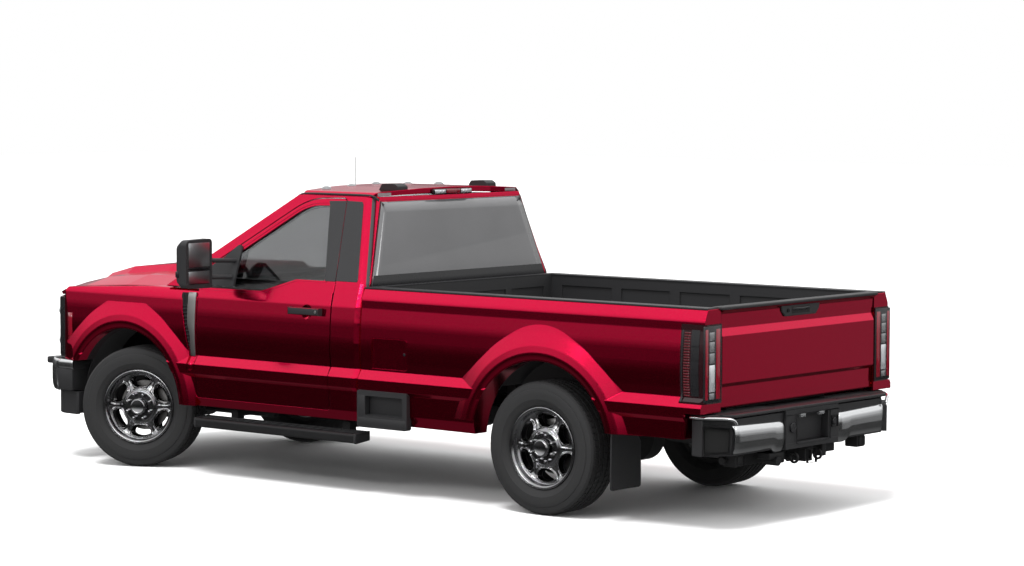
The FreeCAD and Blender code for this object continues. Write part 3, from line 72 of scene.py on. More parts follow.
def addNode(tree, kind, settings=None, **inputs):
    node = tree.nodes.new("ShaderNode" + kind)
    for label, value in (settings or {}).items():
        setattr(node, label, value)
    feed(tree, node.inputs, inputs)
    return node.outputs


def maths(tree, operation, *values):
    node = tree.nodes.new("ShaderNodeMath")
    node.operation = operation
    feed(tree, node.inputs, dict(enumerate(values)))
    return node.outputs["Value"]


def grainGroup():
    # fine moulded grain: a height for the bump and a small change of roughness and shade
    group, given, out = newGroup("mouldedGrain", {
        "Scale": 400.0, "Depth": 0.2, "Colour": (0.05, 0.05, 0.05, 1), "Roughness": 0.5, "Patches": 0.15,
    }, ("Colour", "Roughness", "Normal"))
    place = addNode(group, "TexCoord")["Object"]
    fine = addNode(group, "TexNoise", Vector=place, Scale=given["Scale"])["Fac"]
    broad = addNode(group, "TexNoise", Vector=place, Scale=3.0, Detail=4.0)["Fac"]
    shade = addNode(group, "MapRange", Value=broad, To_Min=0.7, To_Max=1.25)["Result"]
    colour = addNode(group, "Mix", multiplied, Factor=given["Patches"], A=given["Colour"], B=shade)["Result"]
    rough = maths(group, "MULTIPLY_ADD", broad, 0.16, given["Roughness"])
    bump = addNode(group, "Bump", Distance=0.001, Strength=given["Depth"], Height=fine)["Normal"]
    feed(group, out, {"Colour": colour, "Roughness": rough, "Normal": bump})
    return group


def flakeGroup():
    # metal flake under a clear coat: small cells of lighter and darker paint
    group, given, out = newGroup("paintFlake", {"Colour": (0.4, 0.0, 0.03, 1), "Flake": 0.3},
                                 ("Colour", "Roughness"))
    place = addNode(group, "TexCoord")["Object"]
    cells = addNode(group, "TexVoronoi", Vector=place, Scale=900.0)["Color"]
    split = addNode(group, "SeparateColor", Color=cells)
    spread = addNode(group, "MapRange", Value=split["Red"], To_Min=0.55, To_Max=1.6)["Result"]
    colour = addNode(group, "Mix", multiplied, Factor=given["Flake"], A=given["Colour"], B=spread)["Result"]
    rough = addNode(group, "MapRange", Value=split["Green"], To_Min=0.13, To_Max=0.20)["Result"]
    feed(group, out, {"Colour": colour, "Roughness": rough})
    return group


def insideGroup():
    # 1 on faces that look into the cab or the cargo box, told by their place
    group, given, out = newGroup("insideMask", {
        "Reach": 0.9, "Lean": 0.0, "Belt": beltHeight, "Rear": -9.0, "Rake": 0.0, "Low": 0.0, "High": 9.0,
    }, ("Mask",))
    split = addNode(group, "SeparateXYZ", Vector=addNode(group, "TexCoord")["Object"])
    above = maths(group, "MAXIMUM", maths(group, "SUBTRACT", split["Z"], given["Belt"]), 0.0)
    width = maths(group, "MULTIPLY_ADD", above, given["Lean"], maths(group, "ABSOLUTE", split["Y"]))
    ahead = maths(group, "SUBTRACT", split["X"], maths(group, "MULTIPLY", above, given["Rake"]))
    mask = maths(group, "LESS_THAN", width, given["Reach"])
    for test, value, limit in (("GREATER_THAN", ahead, "Rear"), ("GREATER_THAN", split["Z"], "Low"),
                               ("LESS_THAN", split["Z"], "High")):
        mask = maths(group, "MULTIPLY", mask, maths(group, test, value, given[limit]))
    feed(group, out, {"Mask": mask})
    return group


mouldedGrain = {"node_tree": grainGroup()}
paintFlake = {"node_tree": flakeGroup()}
insideMask = {"node_tree": insideGroup()}


def newMaterial(name, settings):
    material = bpy.data.materials.new(name)
    material.use_nodes = True
    shader = material.node_tree.nodes["Principled BSDF"].inputs
    feed(material.node_tree, shader, settings)
    return material, material.node_tree, shader


def grained(name, slot, colour, roughness=0.5, scale=400.0, depth=0.2, patches=0.2, **settings):
    material, tree, shader = newMaterial(name, settings)
    grain = addNode(tree, "Group", mouldedGrain, Scale=scale, Depth=depth, Colour=(*colour, 1),
                    Roughness=roughness - 0.08, Patches=patches)
    feed(tree, shader, {"Base Color": grain["Colour"], "Roughness": grain["Roughness"],
                        "Normal": grain["Normal"]})
    return material


paintColour, paintTint = (0.62, 0.003, 0.046, 1), (0.95, 0.55, 0.62, 1)
paintMetal, paintCoat = 1.0, 0.22


def painted(name, lining=None, tinted=False, **where):
    # metallic paint; where a mask is given, the inner faces get a plain lining colour
    settings = {"Metallic": paintMetal, "Coat_Weight": paintCoat, "Coat_Roughness": 0.03}
    if tinted:
        settings["Specular_Tint"] = paintTint
    material, tree, shader = newMaterial(name, settings)
    paint = addNode(tree, "Group", paintFlake, Colour=paintColour, Flake=0.35)
    feed(tree, shader, {"Normal": addNode(tree, "Bevel", {"samples": 4}, Radius=0.006)["Normal"]})
    if lining is None:
        feed(tree, shader, {"Base Color": paint["Colour"], "Roughness": paint["Roughness"]})
        return material
    mask = addNode(tree, "Group", insideMask, **where)["Mask"]
    plain = addNode(tree, "Group", mouldedGrain, Colour=(*lining, 1), Roughness=0.55)
    for label, kind, outside, inside in (
        ("Base Color", "RGBA", paint["Colour"], plain["Colour"]),
        ("Roughness", "FLOAT", paint["Roughness"], plain["Roughness"]),
        ("Metallic", "FLOAT", paintMetal, 0.0), ("Coat Weight", "FLOAT", paintCoat, 0.0),
    ):
        mixed = addNode(tree, "Mix", {"data_type": kind}, Factor=mask, A=outside, B=inside)
        feed(tree, shader, {label: mixed["Result"]})
    return material


# red paint for each panel, with the lining on the side that faces the cab, the box or the wheel
trimGrey, boxBlack, roofCloth = (0.035, 0.035, 0.037), (0.012, 0.012, 0.013), (0.16, 0.16, 0.165)
redPaint = painted("redPaint", tinted=True)
wingPaint = painted("wingPaint", boxBlack, tinted=True, Reach=0.93, High=1.17)
doorPaint = painted("doorPaint", trimGrey, Reach=0.9075, Lean=0.3469)
backPaint = painted("backPaint", trimGrey, Reach=2.0, Rear=-0.1135, Rake=0.131)
roofPaint = painted("roofPaint", roofCloth, tinted=True, Reach=0.69, High=1.892, Rear=-0.058)
bedPaint = painted("bedPaint", boxBlack, Reach=0.862, Rear=-2.772, Low=0.72)
gatePaint = painted("gatePaint", boxBlack, Reach=2.0, Rear=-2.7745, Low=0.72)

# plastics, rubber, metals, cloth and lamp glass
clearCoat = {"Coat_Weight": 1.0, "Coat_Roughness": 0.03}
blackPlastic = grained("blackPlastic", "black_plastic", (0.013, 0.013, 0.014), 0.52, 500,
                       Specular_IOR_Level=0.35)
glossBlack = grained("glossBlack", "black_plastic", (0.008, 0.008, 0.009), 0.26, 60, 0.02, 0.1,
                     Coat_Weight=0.2, Specular_IOR_Level=0.4)
# near-black for the vent's back, the bumper's corner pockets and the tailgate handle recess: painted shade
paintedShadeBlack = grained("paintedShadeBlack", "black_plastic", (0.004, 0.004, 0.004), 0.8, 100, 0.1)
rubber = grained("rubber", "tyre", (0.014, 0.014, 0.0145), 0.66, 260, 0.25, 0.35, Specular_IOR_Level=0.35)
chassisBlack = grained("chassisBlack", "chassis_black", (0.008, 0.008, 0.0085), 0.55, 120, 0.3, 0.4,
                       Specular_IOR_Level=0.25)
bumperChrome = grained("bumperChrome", "bumper_chrome", (0.70, 0.71, 0.72), 0.20, 30, 0.01, 0.12,
                       Metallic=1.0)
mirrorGlass = grained("mirrorGlass", "bumper_chrome", (0.36, 0.37, 0.38), 0.30, 20, 0.0, 0.05, Metallic=1.0)
brushed = grained("brushedSteel", "exhaust_steel", (0.42, 0.41, 0.40), 0.38, 200, 0.08, 0.3, Metallic=1.0)
castMetal = grained("castMetal", "engine_metal", (0.16, 0.16, 0.17), 0.6, 180, 0.5, 0.4, Metallic=0.8)
liner = grained("boxLiner", "box_liner", (0.016, 0.016, 0.017), 0.62, 260, 0.5, 0.3)
interior = grained("interiorTrim", "interior", (0.045, 0.045, 0.048), 0.6, 500, 0.3)
cloth = grained("seatCloth", "seat_cloth", (0.07, 0.07, 0.074), 0.85, 900, 0.5, 0.25, Sheen_Weight=0.4)
lampRed = grained("lampRed", "red_lamp", (0.13, 0.001, 0.008), 0.16, 40, 0.02, 0.1, **clearCoat)
lampDark = grained("lampDark", "red_lamp", (0.012, 0.003, 0.004), 0.14, 40, 0.02, 0.1,
                   Coat_Weight=0.45, Coat_Roughness=0.03, Specular_IOR_Level=0.3)
darkRedLens = grained("darkRedLens", "red_lamp", (0.060, 0.002, 0.005), 0.14, 40, 0.02, 0.15, **clearCoat)
lampClear = grained("lampClear", "clear_lamp", (0.62, 0.64, 0.66), 0.12, 40, 0.02, 0.1,
                    Metallic=0.7, Coat_Weight=1.0)
lampSmoke = grained("lampSmoke", "clear_lamp", (0.20, 0.205, 0.21), 0.14, 40, 0.02, 0.2,
                    Metallic=0.6, Coat_Weight=1.0)
rearGlassGrey = grained("rearGlassGrey", "glass", (0.085, 0.085, 0.088), 0.14, 3, 0.0, 0.6,
                        Coat_Weight=1.0, Coat_Roughness=0.02)


def glassMaterial():
    # tinted glass that is mostly clear
    material, tree, shader = newMaterial("tintedGlass", {
        "IOR": 1.45, "Transmission Weight": 1.0, "Base Color": (0.38, 0.385, 0.39, 1),
    })
    noise = addNode(tree, "TexNoise", Vector=addNode(tree, "TexCoord")["Object"], Scale=2.0)["Fac"]
    spread = addNode(tree, "MapRange", Value=noise, To_Min=0.02, To_Max=0.05)
    feed(tree, shader, {"Roughness": spread["Result"]})
    return material


tintedGlass = glassMaterial()


def wheelMaterial(name, centre, angle):
    # dark chrome on the outer face, near-black deeper in as painted shade in the windows and hollows, told
    # apart by the depth along the wheel's own axis
    material, tree, shader = newMaterial(name, {"Metallic": 1.0})
    place = addNode(tree, "TexCoord")["Object"]
    turned = addNode(tree, "Mapping", {"vector_type": "TEXTURE"}, Vector=place, Location=centre,
                     Rotation=(0, 0, angle))["Vector"]
    split = addNode(tree, "SeparateXYZ", Vector=turned)
    depth = addNode(tree, "MapRange", Value=split["Y"], From_Min=0.022, From_Max=0.034)["Result"]
    noise = addNode(tree, "TexNoise", Vector=place, Scale=60.0)["Color"]
    # the near-black colour on the deeper faces is painted shade
    metalAndShade = addNode(tree, "Mix", {"data_type": "RGBA"}, Factor=depth, A=(0.035, 0.034, 0.034, 1),
                    B=(0.36, 0.36, 0.37, 1))["Result"]
    colour = addNode(tree, "Mix", multiplied, Factor=0.2, A=metalAndShade, B=noise)["Result"]
    rough = addNode(tree, "MapRange", Value=depth, To_Min=0.5, To_Max=0.16)["Result"]
    edge = addNode(tree, "Bevel", {"samples": 4}, Radius=0.005)["Normal"]
    feed(tree, shader, {"Base Color": colour, "Roughness": rough, "Normal": edge})
    return material


mesh = bmesh.new()  # the working mesh, emptied after each piece
sides = ("left", "right")
rightSide = Matrix.Diagonal((1, -1, 1, 1))
ownCentre = {"cent": (0, 0, 0), "axis": (0, 1, 0)}


def dress(name, material):
    nodes[name].data.materials.clear()
    nodes[name].data.materials.append(material)


def named(name, body, side):
    # a piece on one side of the truck, or on the door of that side
    if side is None:
        return name, body
    return name + "_" + side, "door_" + side if body == "door" else body


def register(name, data, body):
    for face in data.polygons:
        face.use_smooth = True
    piece = bpy.data.objects.new(name, data)
    bpy.context.scene.collection.objects.link(piece)
    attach(piece, body)
    return piece


def finish(name, material, body="truck", side=None, smooth=40.0, bevel=0.0, segments=2, thick=0.0, levels=0):
    # turns the working mesh into a named piece that rides on a body; on the right side it is mirrored
    name, body = named(name, body, side)
    bmesh.ops.remove_doubles(mesh, verts=mesh.verts, dist=0.00005)
    bmesh.ops.recalc_face_normals(mesh, faces=mesh.faces)
    if side == "right":
        bmesh.ops.transform(mesh, matrix=rightSide, verts=mesh.verts)
        bmesh.ops.recalc_face_normals(mesh, faces=mesh.faces)
    data = bpy.data.meshes.new(name)
    mesh.to_mesh(data)
    mesh.clear()
    data.materials.append(material)
    piece = register(name, data, body)
    data.set_sharp_from_angle(angle=math.radians(smooth))
    if thick:
        wall = piece.modifiers.new("wall", "SOLIDIFY")
        wall.thickness = thick
        wall.offset = -1.0
    if bevel:
        edges = piece.modifiers.new("edges", "BEVEL")
        edges.width = bevel
        edges.segments = segments
        edges.limit_method = "ANGLE"
        edges.angle_limit = math.radians(35)
    if levels:
        soft = piece.modifiers.new("round", "SUBSURF")
        soft.levels = soft.render_levels = levels
    return piece


def tube(name, points, radius, material, body="truck", side=None, cyclic=False, rounds=3, order=3):
    # round bar along a smooth line; on the right side it is mirrored
    name, body = named(name, body, side)
    curve = bpy.data.curves.new(name, "CURVE")
    curve.dimensions = "3D"
    curve.bevel_depth = radius
    curve.bevel_resolution = rounds
    curve.use_fill_caps = True
    line = curve.splines.new("NURBS")
    line.points.add(len(points) - 1)
    for spot, (x, y, z) in zip(line.points, points):
        spot.co = (x, -y if side == "right" else y, z, 1)
    line.order_u = order
    line.use_endpoint_u = not cyclic
    line.use_cyclic_u = cyclic
    line.resolution_u = 6
    holder = bpy.data.objects.new(name + "Line", curve)
    bpy.context.scene.collection.objects.link(holder)
    bpy.context.view_layer.update()
    data = bpy.data.meshes.new_from_object(holder)
    bpy.data.objects.remove(holder)
    data.name = name
    data.materials.clear()
    data.materials.append(material)
    return register(name, data, body)


def circlePoints(centre, radius, lean=0.0, count=8):
    x, y, z = centre
    turns = [k * math.tau / count for k in range(count)]
    return [(x + radius * math.cos(a), y - lean * math.sin(a), z + radius * math.sin(a)) for a in turns]


def addBlock(low, high, bevel=0.0, segments=2):
    size = Vector(high) - Vector(low)
    centre = (Vector(high) + Vector(low)) / 2
    matrix = Matrix.Translation(centre) @ Matrix.Diagonal((*size, 1))
    made = bmesh.ops.create_cube(mesh, size=1.0, matrix=matrix)
    if bevel:
        edges = {e for v in made["verts"] for e in v.link_edges}
        bmesh.ops.bevel(mesh, geom=list(edges), offset=bevel, segments=segments, profile=0.5, affect="EDGES",
                        material=-1)


def pushOut(faces, push):
    # thickens faces by a vector
    made = bmesh.ops.extrude_face_region(mesh, geom=faces, use_keep_orig=True)
    moved = [g for g in made["geom"] if isinstance(g, bmesh.types.BMVert)]
    bmesh.ops.translate(mesh, verts=moved, vec=Vector(push))


def addPlate(points, push):
    # flat outline given as points, thickened by a vector
    pushOut([mesh.faces.new([mesh.verts.new(p) for p in points])], push)


def addRing(points, width, push):
    # flat frame inside an outline, thickened by a vector
    face = mesh.faces.new([mesh.verts.new(p) for p in points])
    bmesh.ops.inset_region(mesh, faces=[face], thickness=width, use_even_offset=True, use_boundary=True)
    ring = list({f for e in face.edges for f in e.link_faces if f is not face})
    bmesh.ops.delete(mesh, geom=[face], context="FACES_ONLY")
    pushOut(ring, push)


def acrossPlane(x, low, high):
    # rectangle in the plane at x, from its low to its high (y, z) corner
    (y0, z0), (y1, z1) = low, high
    return [(x, y0, z0), (x, y1, z0), (x, y1, z1), (x, y0, z1)]


def addSheet(columns, rows, place):
    # grid laid over a surface that place(across, along) gives
    for vert in bmesh.ops.create_grid(mesh, x_segments=columns, y_segments=rows, size=0.5)["verts"]:
        vert.co = place(vert.co.x + 0.5, vert.co.y + 0.5)


def addSpun(profile, steps=48, closed=True):
    # (depth along Y, radius) points turned about the Y axis
    verts = [mesh.verts.new((radius, depth, 0)) for depth, radius in profile]
    pairs = zip(verts, verts[1:] + verts[:1]) if closed else zip(verts, verts[1:])
    edges = [mesh.edges.new(p) for p in pairs]
    bmesh.ops.spin(mesh, geom=verts + edges, angle=math.tau, steps=steps, use_merge=True,
                   use_normal_flip=False, use_duplicate=False, **ownCentre)


def addRod(start, end, radius, corners=12):
    start, end = Vector(start), Vector(end)
    turn = (end - start).to_track_quat("Z", "Y").to_matrix().to_4x4()
    bmesh.ops.create_cone(mesh, cap_ends=True, segments=corners, radius1=radius, radius2=radius,
                          depth=(end - start).length, matrix=Matrix.Translation((start + end) / 2) @ turn)


def addBall(centre, radii, across=24, rings=12):
    matrix = Matrix.Translation(centre) @ Matrix.Diagonal((*radii, 1))
    bmesh.ops.create_uvsphere(mesh, u_segments=across, v_segments=rings, radius=1.0, matrix=matrix)


finishes = {
    redPaint: ("hood", "fuel_door"),
    wingPaint: ("fenders",),
    doorPaint: ("door_left", "door_right", "cab_sides"),
    backPaint: ("cab_back",),
    roofPaint: ("roof",),
    bedPaint: ("bed_sides",),
    gatePaint: ("tailgate",),
    blackPlastic: ("mirror_left", "mirror_right", "front_valance", "rear_bumper_step", "box_steps",
                   "wheel_liners", "rail_caps", "antenna", "firewall", "grille", "roof_pods"),
    chassisBlack: ("running_boards", "frame", "front_axle", "rear_axle", "front_suspension", "rear_suspension",
                   "knuckle_left", "knuckle_right", "tie_rod", "fuel_tank", "driveline"),
    castMetal: ("engine_block",),
    brushed: ("exhaust",),
    rubber: ("tyre_front_left", "tyre_front_right", "tyre_rear_left", "tyre_rear_right", "spare_wheel"),
    liner: ("bed_floor",),
    interior: ("cab_floor", "dashboard", "steering_wheel"),
    cloth: ("seat",),
    bumperChrome: ("front_bumper", "rear_bumper"),
    tintedGlass: ("door_glass_left", "door_glass_right", "cab_glass"),
    glossBlack: ("headlamps",),
    lampDark: ("tail_lamps",),
    lampClear: ("roof_lamps",),
}
for material, names in finishes.items():
    for name in names:
        dress(name, material)

# each wheel's own frame: origin in its centre, Y outward along its axle
wheelPlaces = {}
for axle, x, y, steer, reach in (("front", axleFront, kingpinY, steerAngle, spindleReach),
                                 ("rear", axleRear, rearWheelY, 0.0, 0.0)):
    for side, sign in zip(sides, (1, -1)):
        tag = axle + "_" + side
        angle = steer + (0.0 if sign > 0 else math.pi)
        across = sign * (y + reach * math.cos(steer))
        centre = Vector((x - sign * reach * math.sin(steer), across, wheelHeight))
        wheelPlaces[tag] = Matrix.Translation(centre) @ Matrix.Rotation(angle, 4, "Z")
        dress("wheel_" + tag, wheelMaterial("wheelMetalPaintedShade_" + tag, centre, angle))
print("packed parts finished")


def finishOnWheel(label, tag, material=None, **settings):
    bmesh.ops.transform(mesh, matrix=wheelPlaces[tag], verts=mesh.verts)
    metalAndShade = nodes["wheel_" + tag].data.materials[0]
    return finish(label + "_" + tag, material or metalAndShade, "wheel_" + tag, **settings)


tread = {"ribs": 5, "pitches": 66, "depth": 0.009, "width": 0.206, "groove": 0.011, "gap": 0.0022,
         "radius": 0.4075, "lean": 0.006, "sag": 0.0022}


def repeatPitches():
    # copies of the one pitch in the working mesh, all the way round the tyre
    step = math.tau / tread["pitches"]
    bmesh.ops.spin(mesh, geom=mesh.verts[:] + mesh.edges[:] + mesh.faces[:], angle=math.tau - step,
                   steps=tread["pitches"] - 1, use_duplicate=True, use_merge=False, **ownCentre)


def treadBand():
    # rows of tread blocks that stand on a band below the CAD tyre's surface
    base = tread["radius"] - 0.0015
    ribWidth = (tread["width"] - tread["groove"] * (tread["ribs"] - 1)) / tread["ribs"]
    length = math.tau / tread["pitches"] * base
    for rib in range(tread["ribs"]):
        y0 = -tread["width"] / 2 + rib * (ribWidth + tread["groove"])
        lean = tread["lean"] * (1 if rib % 2 else -1)
        top = base - tread["sag"] * (abs(y0 + ribWidth / 2) / (tread["width"] / 2)) ** 2
        foot = top - tread["depth"]
        verts = []
        for y, twist in ((y0, -lean), (y0 + ribWidth, lean)):
            for start in (tread["gap"], length - tread["gap"]):
                theta = (start + twist) / base
                verts.append(mesh.verts.new((foot * math.cos(theta), y, foot * math.sin(theta))))
        face = mesh.faces.new((verts[0], verts[1], verts[3], verts[2]))
        made = bmesh.ops.extrude_face_region(mesh, geom=[face])
        raised = [g for g in made["geom"] if isinstance(g, bmesh.types.BMVert)]
        bmesh.ops.scale(mesh, verts=raised, vec=(top / foot, 1, top / foot))
    repeatPitches()


def tyreBody():
    # carcass with a ribbed sidewall; the band between the blocks lies a tread's depth lower
    outside = [(-0.1025, 0.229), (-0.104, 0.254), (-0.116, 0.262), (-0.124, 0.274), (-0.1325, 0.290),
               (-0.1345, 0.2935), (-0.1365, 0.296), (-0.1372, 0.312), (-0.1375, 0.330), (-0.1362, 0.3525),
               (-0.1350, 0.3560), (-0.1318, 0.3575), (-0.1300, 0.372), (-0.1255, 0.389), (-0.1165, 0.3975),
               (-0.1075, 0.4015), (-0.1035, 0.3955), (-0.070, 0.3965), (-0.035, 0.3975), (0, 0.398)]
    inside = [(0.090, 0.262), (0.1, 0.33), (0.08, 0.375), (-0.08, 0.375), (-0.1, 0.33), (-0.090, 0.262)]
    addSpun(outside + [(-y, radius) for y, radius in reversed(outside[:-1])] + inside, steps=96)


def shoulderLugs():
    # short bars across the tyre's shoulder, one for each pitch
    lug = {"radii": (0.3800, 0.3988), "reach": (0.1045, 0.1190), "ends": (-0.0085, 0.0035), "turn": -38}
    for side in (1, -1):
        low, high = sorted(side * y for y in lug["reach"])
        addBlock((lug["radii"][0], low, lug["ends"][0]), (lug["radii"][1], high, lug["ends"][1]), 0.0015)
        ownVerts = [v for v in mesh.verts if v.co.y * side > 0]
        bmesh.ops.rotate(mesh, verts=ownVerts, cent=(0.395, side * 0.118, 0),
                         matrix=Matrix.Rotation(side * math.radians(lug["turn"]), 3, "Z"))
    repeatPitches()


for tag in wheelPlaces:
    tyreBody()
    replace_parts(finishOnWheel("tyreCarcass", tag, rubber, smooth=30), "tyre_" + tag)
    for maker, label in ((treadBand, "tyreTread"), (shoulderLugs, "tyreShoulder")):
        maker()
        finishOnWheel(label, tag, rubber, smooth=30)
print("tyres made")

# six-window wheel: the disc's outer face as (radius, depth) points, and the windows' places
wheelTrim = {"windows": 6, "reach": 0.168, "round": (0.077, 0.042), "inner": 0.110, "outer": 0.224, "lugs": 8,
             "lugCircle": 0.085, "wall": 0.30}
discProfile = ((0.040, 0.092), (0.100, 0.090), (0.112, 0.083), (0.130, 0.072), (0.160, 0.062), (0.190, 0.060),
               (0.212, 0.066), (0.224, 0.074), (0.232, 0.088), (0.2385, 0.103), (0.2435, 0.1125),
               (0.248, 0.1145), (0.2505, 0.1105), (0.2505, 0.098), (0.243, 0.084), (0.236, 0.060),
               (0.226, 0.030), (0.222, 0.0), (0.230, -0.09))


def discDepth(radius):
    for (r0, y0), (r1, y1) in zip(discProfile, discProfile[1:]):
        if r0 <= radius <= r1:
            part = (radius - r0) / (r1 - r0)
            return y0 + (y1 - y0) * part * part * (3 - 2 * part)
    return discProfile[0][1]


def power(value, exponent):
    return math.copysign(abs(value) ** exponent, value)


def windowSector(across, along):
    # one sixth of the disc: the deep inner wall of its oval window, a rolled lip and the face round it
    c, s = math.cos(math.tau * across), math.sin(math.tau * across)
    wide, tall = wheelTrim["round"]
    middle = wheelTrim["reach"]
    span = max(abs(c), abs(s))
    edgeAngle = math.pi / wheelTrim["windows"] * c / span
    edgeRadius = middle + s / span * (wheelTrim["outer"] - middle if s > 0 else middle - wheelTrim["inner"])
    ovalRadius = middle + tall * power(s, 0.85)
    ovalAngle = wide * (1.0 + 0.16 * s) * power(c, 0.75) / middle * 0.86
    if along < wheelTrim["wall"]:
        part = along / wheelTrim["wall"]
        shrink = 0.80 + 0.20 * part ** 0.5
        radius = middle + (ovalRadius - middle) * shrink
        depth = discDepth(ovalRadius) + 0.007 * part - 0.045 * (1 - part) ** 1.2
        return math.pi / 2 + ovalAngle * shrink, radius, depth
    part = (along - wheelTrim["wall"]) / (1 - wheelTrim["wall"])
    angle = ovalAngle + (edgeAngle - ovalAngle) * part
    radius = ovalRadius + (edgeRadius - ovalRadius) * part
    lip = 0.007 * math.exp(-(part / 0.20) ** 2) - 0.004 * math.exp(-((part - 0.45) / 0.18) ** 2) * abs(c)
    return math.pi / 2 + angle, radius, discDepth(radius) + lip


def wheelDisc():
    for k in range(wheelTrim["windows"]):
        swing = math.tau * k / wheelTrim["windows"]

        def sectorPoint(across, along):
            angle, radius, depth = windowSector(across, along)
            return Vector((radius * math.cos(angle + swing), depth, radius * math.sin(angle + swing)))
        addSheet(64, 18, sectorPoint)
    addSpun([(depth, radius) for radius, depth in discProfile[7:]], steps=96, closed=False)
    hub = (wheelTrim["inner"], 0.104, 0.100, 0.096, 0.060, 0.0)
    addSpun([(discDepth(radius), radius) for radius in hub], steps=96, closed=False)


def wheelNuts():
    outward = Matrix.Rotation(math.radians(-90), 4, "X")
    for k in range(wheelTrim["lugs"]):
        turn = math.tau * (k + 0.5) / wheelTrim["lugs"]
        x, z = wheelTrim["lugCircle"] * math.cos(turn), wheelTrim["lugCircle"] * math.sin(turn)
        bmesh.ops.create_cone(mesh, cap_ends=True, segments=6, radius1=0.0145, radius2=0.0125, depth=0.034,
                              matrix=Matrix.Translation((x, 0.101, z)) @ outward)
        addBall((x, 0.118, z), (0.011, 0.0066, 0.011), 12, 6)
        bmesh.ops.create_cone(mesh, cap_ends=True, segments=16, radius1=0.0185, radius2=0.0185, depth=0.006,
                              matrix=Matrix.Translation((x, 0.084, z)) @ outward)


wheelBarrel = (((-0.09, 0.232), (-0.10, 0.226), (0.0, 0.2205), (0.05, 0.221), (0.05, 0.2235), (0.0, 0.224)),
               ((0.045, 0.0), (0.045, 0.105), (-0.045, 0.105), (-0.045, 0.0)))
wheelCap = ((0.106, 0.0), (0.106, 0.057), (0.120, 0.056), (0.127, 0.051), (0.130, 0.044), (0.127, 0.040),
            (0.129, 0.0))
lipRing = ((0.1105, 0.2495), (0.1145, 0.246), (0.1145, 0.238), (0.106, 0.229), (0.100, 0.2265), (0.1, 0.231))
for tag in wheelPlaces:
    wheelDisc()
    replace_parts(finishOnWheel("wheelDisc", tag, smooth=75), "wheel_" + tag)
    addSpun(wheelBarrel[0], steps=72)
    addSpun(wheelBarrel[1], steps=40, closed=False)
    finishOnWheel("wheelBarrel", tag, chassisBlack)
for tag in wheelPlaces:
    wheelNuts()
    finishOnWheel("wheelNuts", tag, smooth=30, bevel=0.0012)
    addSpun(wheelCap, steps=40, closed=False)
    finishOnWheel("wheelCap", tag, smooth=50)
    addSpun(lipRing, steps=72)
    finishOnWheel("wheelLipRing", tag, smooth=60)
print("wheels dressed")

# height and half width of the body's side section
sideProfile = ((0.452, 0.960), (0.520, 0.988), (0.650, 0.992), (0.672, 1.010), (0.735, 1.010), (0.790, 0.976),
               (0.860, 0.983), (0.950, 0.986), (1.080, 0.980), (1.180, 0.970), (1.262, 0.948),
               (beltHeight, 0.930), (1.868, 0.742))


def alongPoints(points, at):
    # straight lines between (place, value) points, held at both ends
    for (a0, b0), (a1, b1) in zip(points, points[1:]):
        if a0 <= at <= a1:
            return b0 + (b1 - b0) * (at - a0) / (a1 - a0)
    return points[0][1] if at < points[0][0] else points[-1][1]


def sideY(z):
    return alongPoints(sideProfile, z)


def sideStrip(low, high, rear, front, proud, rows=14, columns=1):
    # strip that follows the side's section between two heights; its front edge may change with the height
    def strip(across, along):
        z = low + (high - low) * along
        end = front(z) if callable(front) else front
        return Vector((rear + (end - rear) * across, sideY(z) + proud, z))
    addSheet(columns, rows, strip)


def onSide(points, proud=0.0):
    return [(x, sideY(z) + proud, z) for x, z in points]


# vent behind the front wheel arch: near-black back as painted shade, slats and a bright strip, with body
# colour below its foot
vent = {"bottom": 0.786, "top": 1.208, "stripRear": 1.311, "stripFront": 1.352, "slats": 17, "back": 0.967,
        "slatHalf": 0.004, "posts": (1.366, 1.392, 1.418), "footLow": 0.698, "stripStep": 0.965}
ventTall = vent["top"] - vent["bottom"]


def ventFront(z):
    # the vent's front edge follows the wheel arch up, then leans back
    share = (z - vent["bottom"]) / ventTall
    return 1.366 + 0.080 * min(1.0, share * 1.35) ** 1.1 - max(0, share - 0.95) * 0.2


def stripFront(z):
    # the bright strip is wider in its upper half
    return vent["stripFront"] + 0.030 / (1 + math.exp((vent["stripStep"] - z) / 0.018))


def ventBackPoint(across, along):
    z = vent["bottom"] + 0.004 + (ventTall - 0.008) * along
    rear = vent["stripFront"] - 0.01
    return Vector((rear + (ventFront(z) - rear) * across, max(sideY(z) - 0.011, 0.9712), z))


for side in sides:
    for k in range(vent["slats"]):
        z = vent["bottom"] + 0.02 + k * (ventTall - 0.04) / (vent["slats"] - 1)
        addBlock((vent["stripFront"] + 0.002, vent["back"], z - vent["slatHalf"]),
                 (ventFront(z) - 0.002, sideY(z) - 0.003, z + vent["slatHalf"]), 0.0012)
    for x in vent["posts"]:
        low = vent["bottom"] + (x - 1.346) / 0.088 * ventTall * 0.72 + 0.01
        addBlock((x - 0.0025, vent["back"], low), (x + 0.0025, vent["back"] + 0.006, vent["top"] - 0.02))
    finish("ventSlats", glossBlack, side=side)
    sideStrip(vent["bottom"], vent["top"], vent["stripRear"], stripFront, 0.007)
    finish("ventBrightStrip", brushed, side=side, thick=0.018, bevel=0.0025)
    # near-black back behind the slats: painted shade
    addSheet(2, 20, ventBackPoint)
    finish("ventBackPaintedShade", paintedShadeBlack, side=side)
    sideStrip(vent["footLow"], vent["bottom"] + 0.002, vent["stripRear"], vent["stripFront"] + 0.018, 0.0015)
    finish("ventFoot", redPaint, side=side, thick=0.003)
print("vents made")

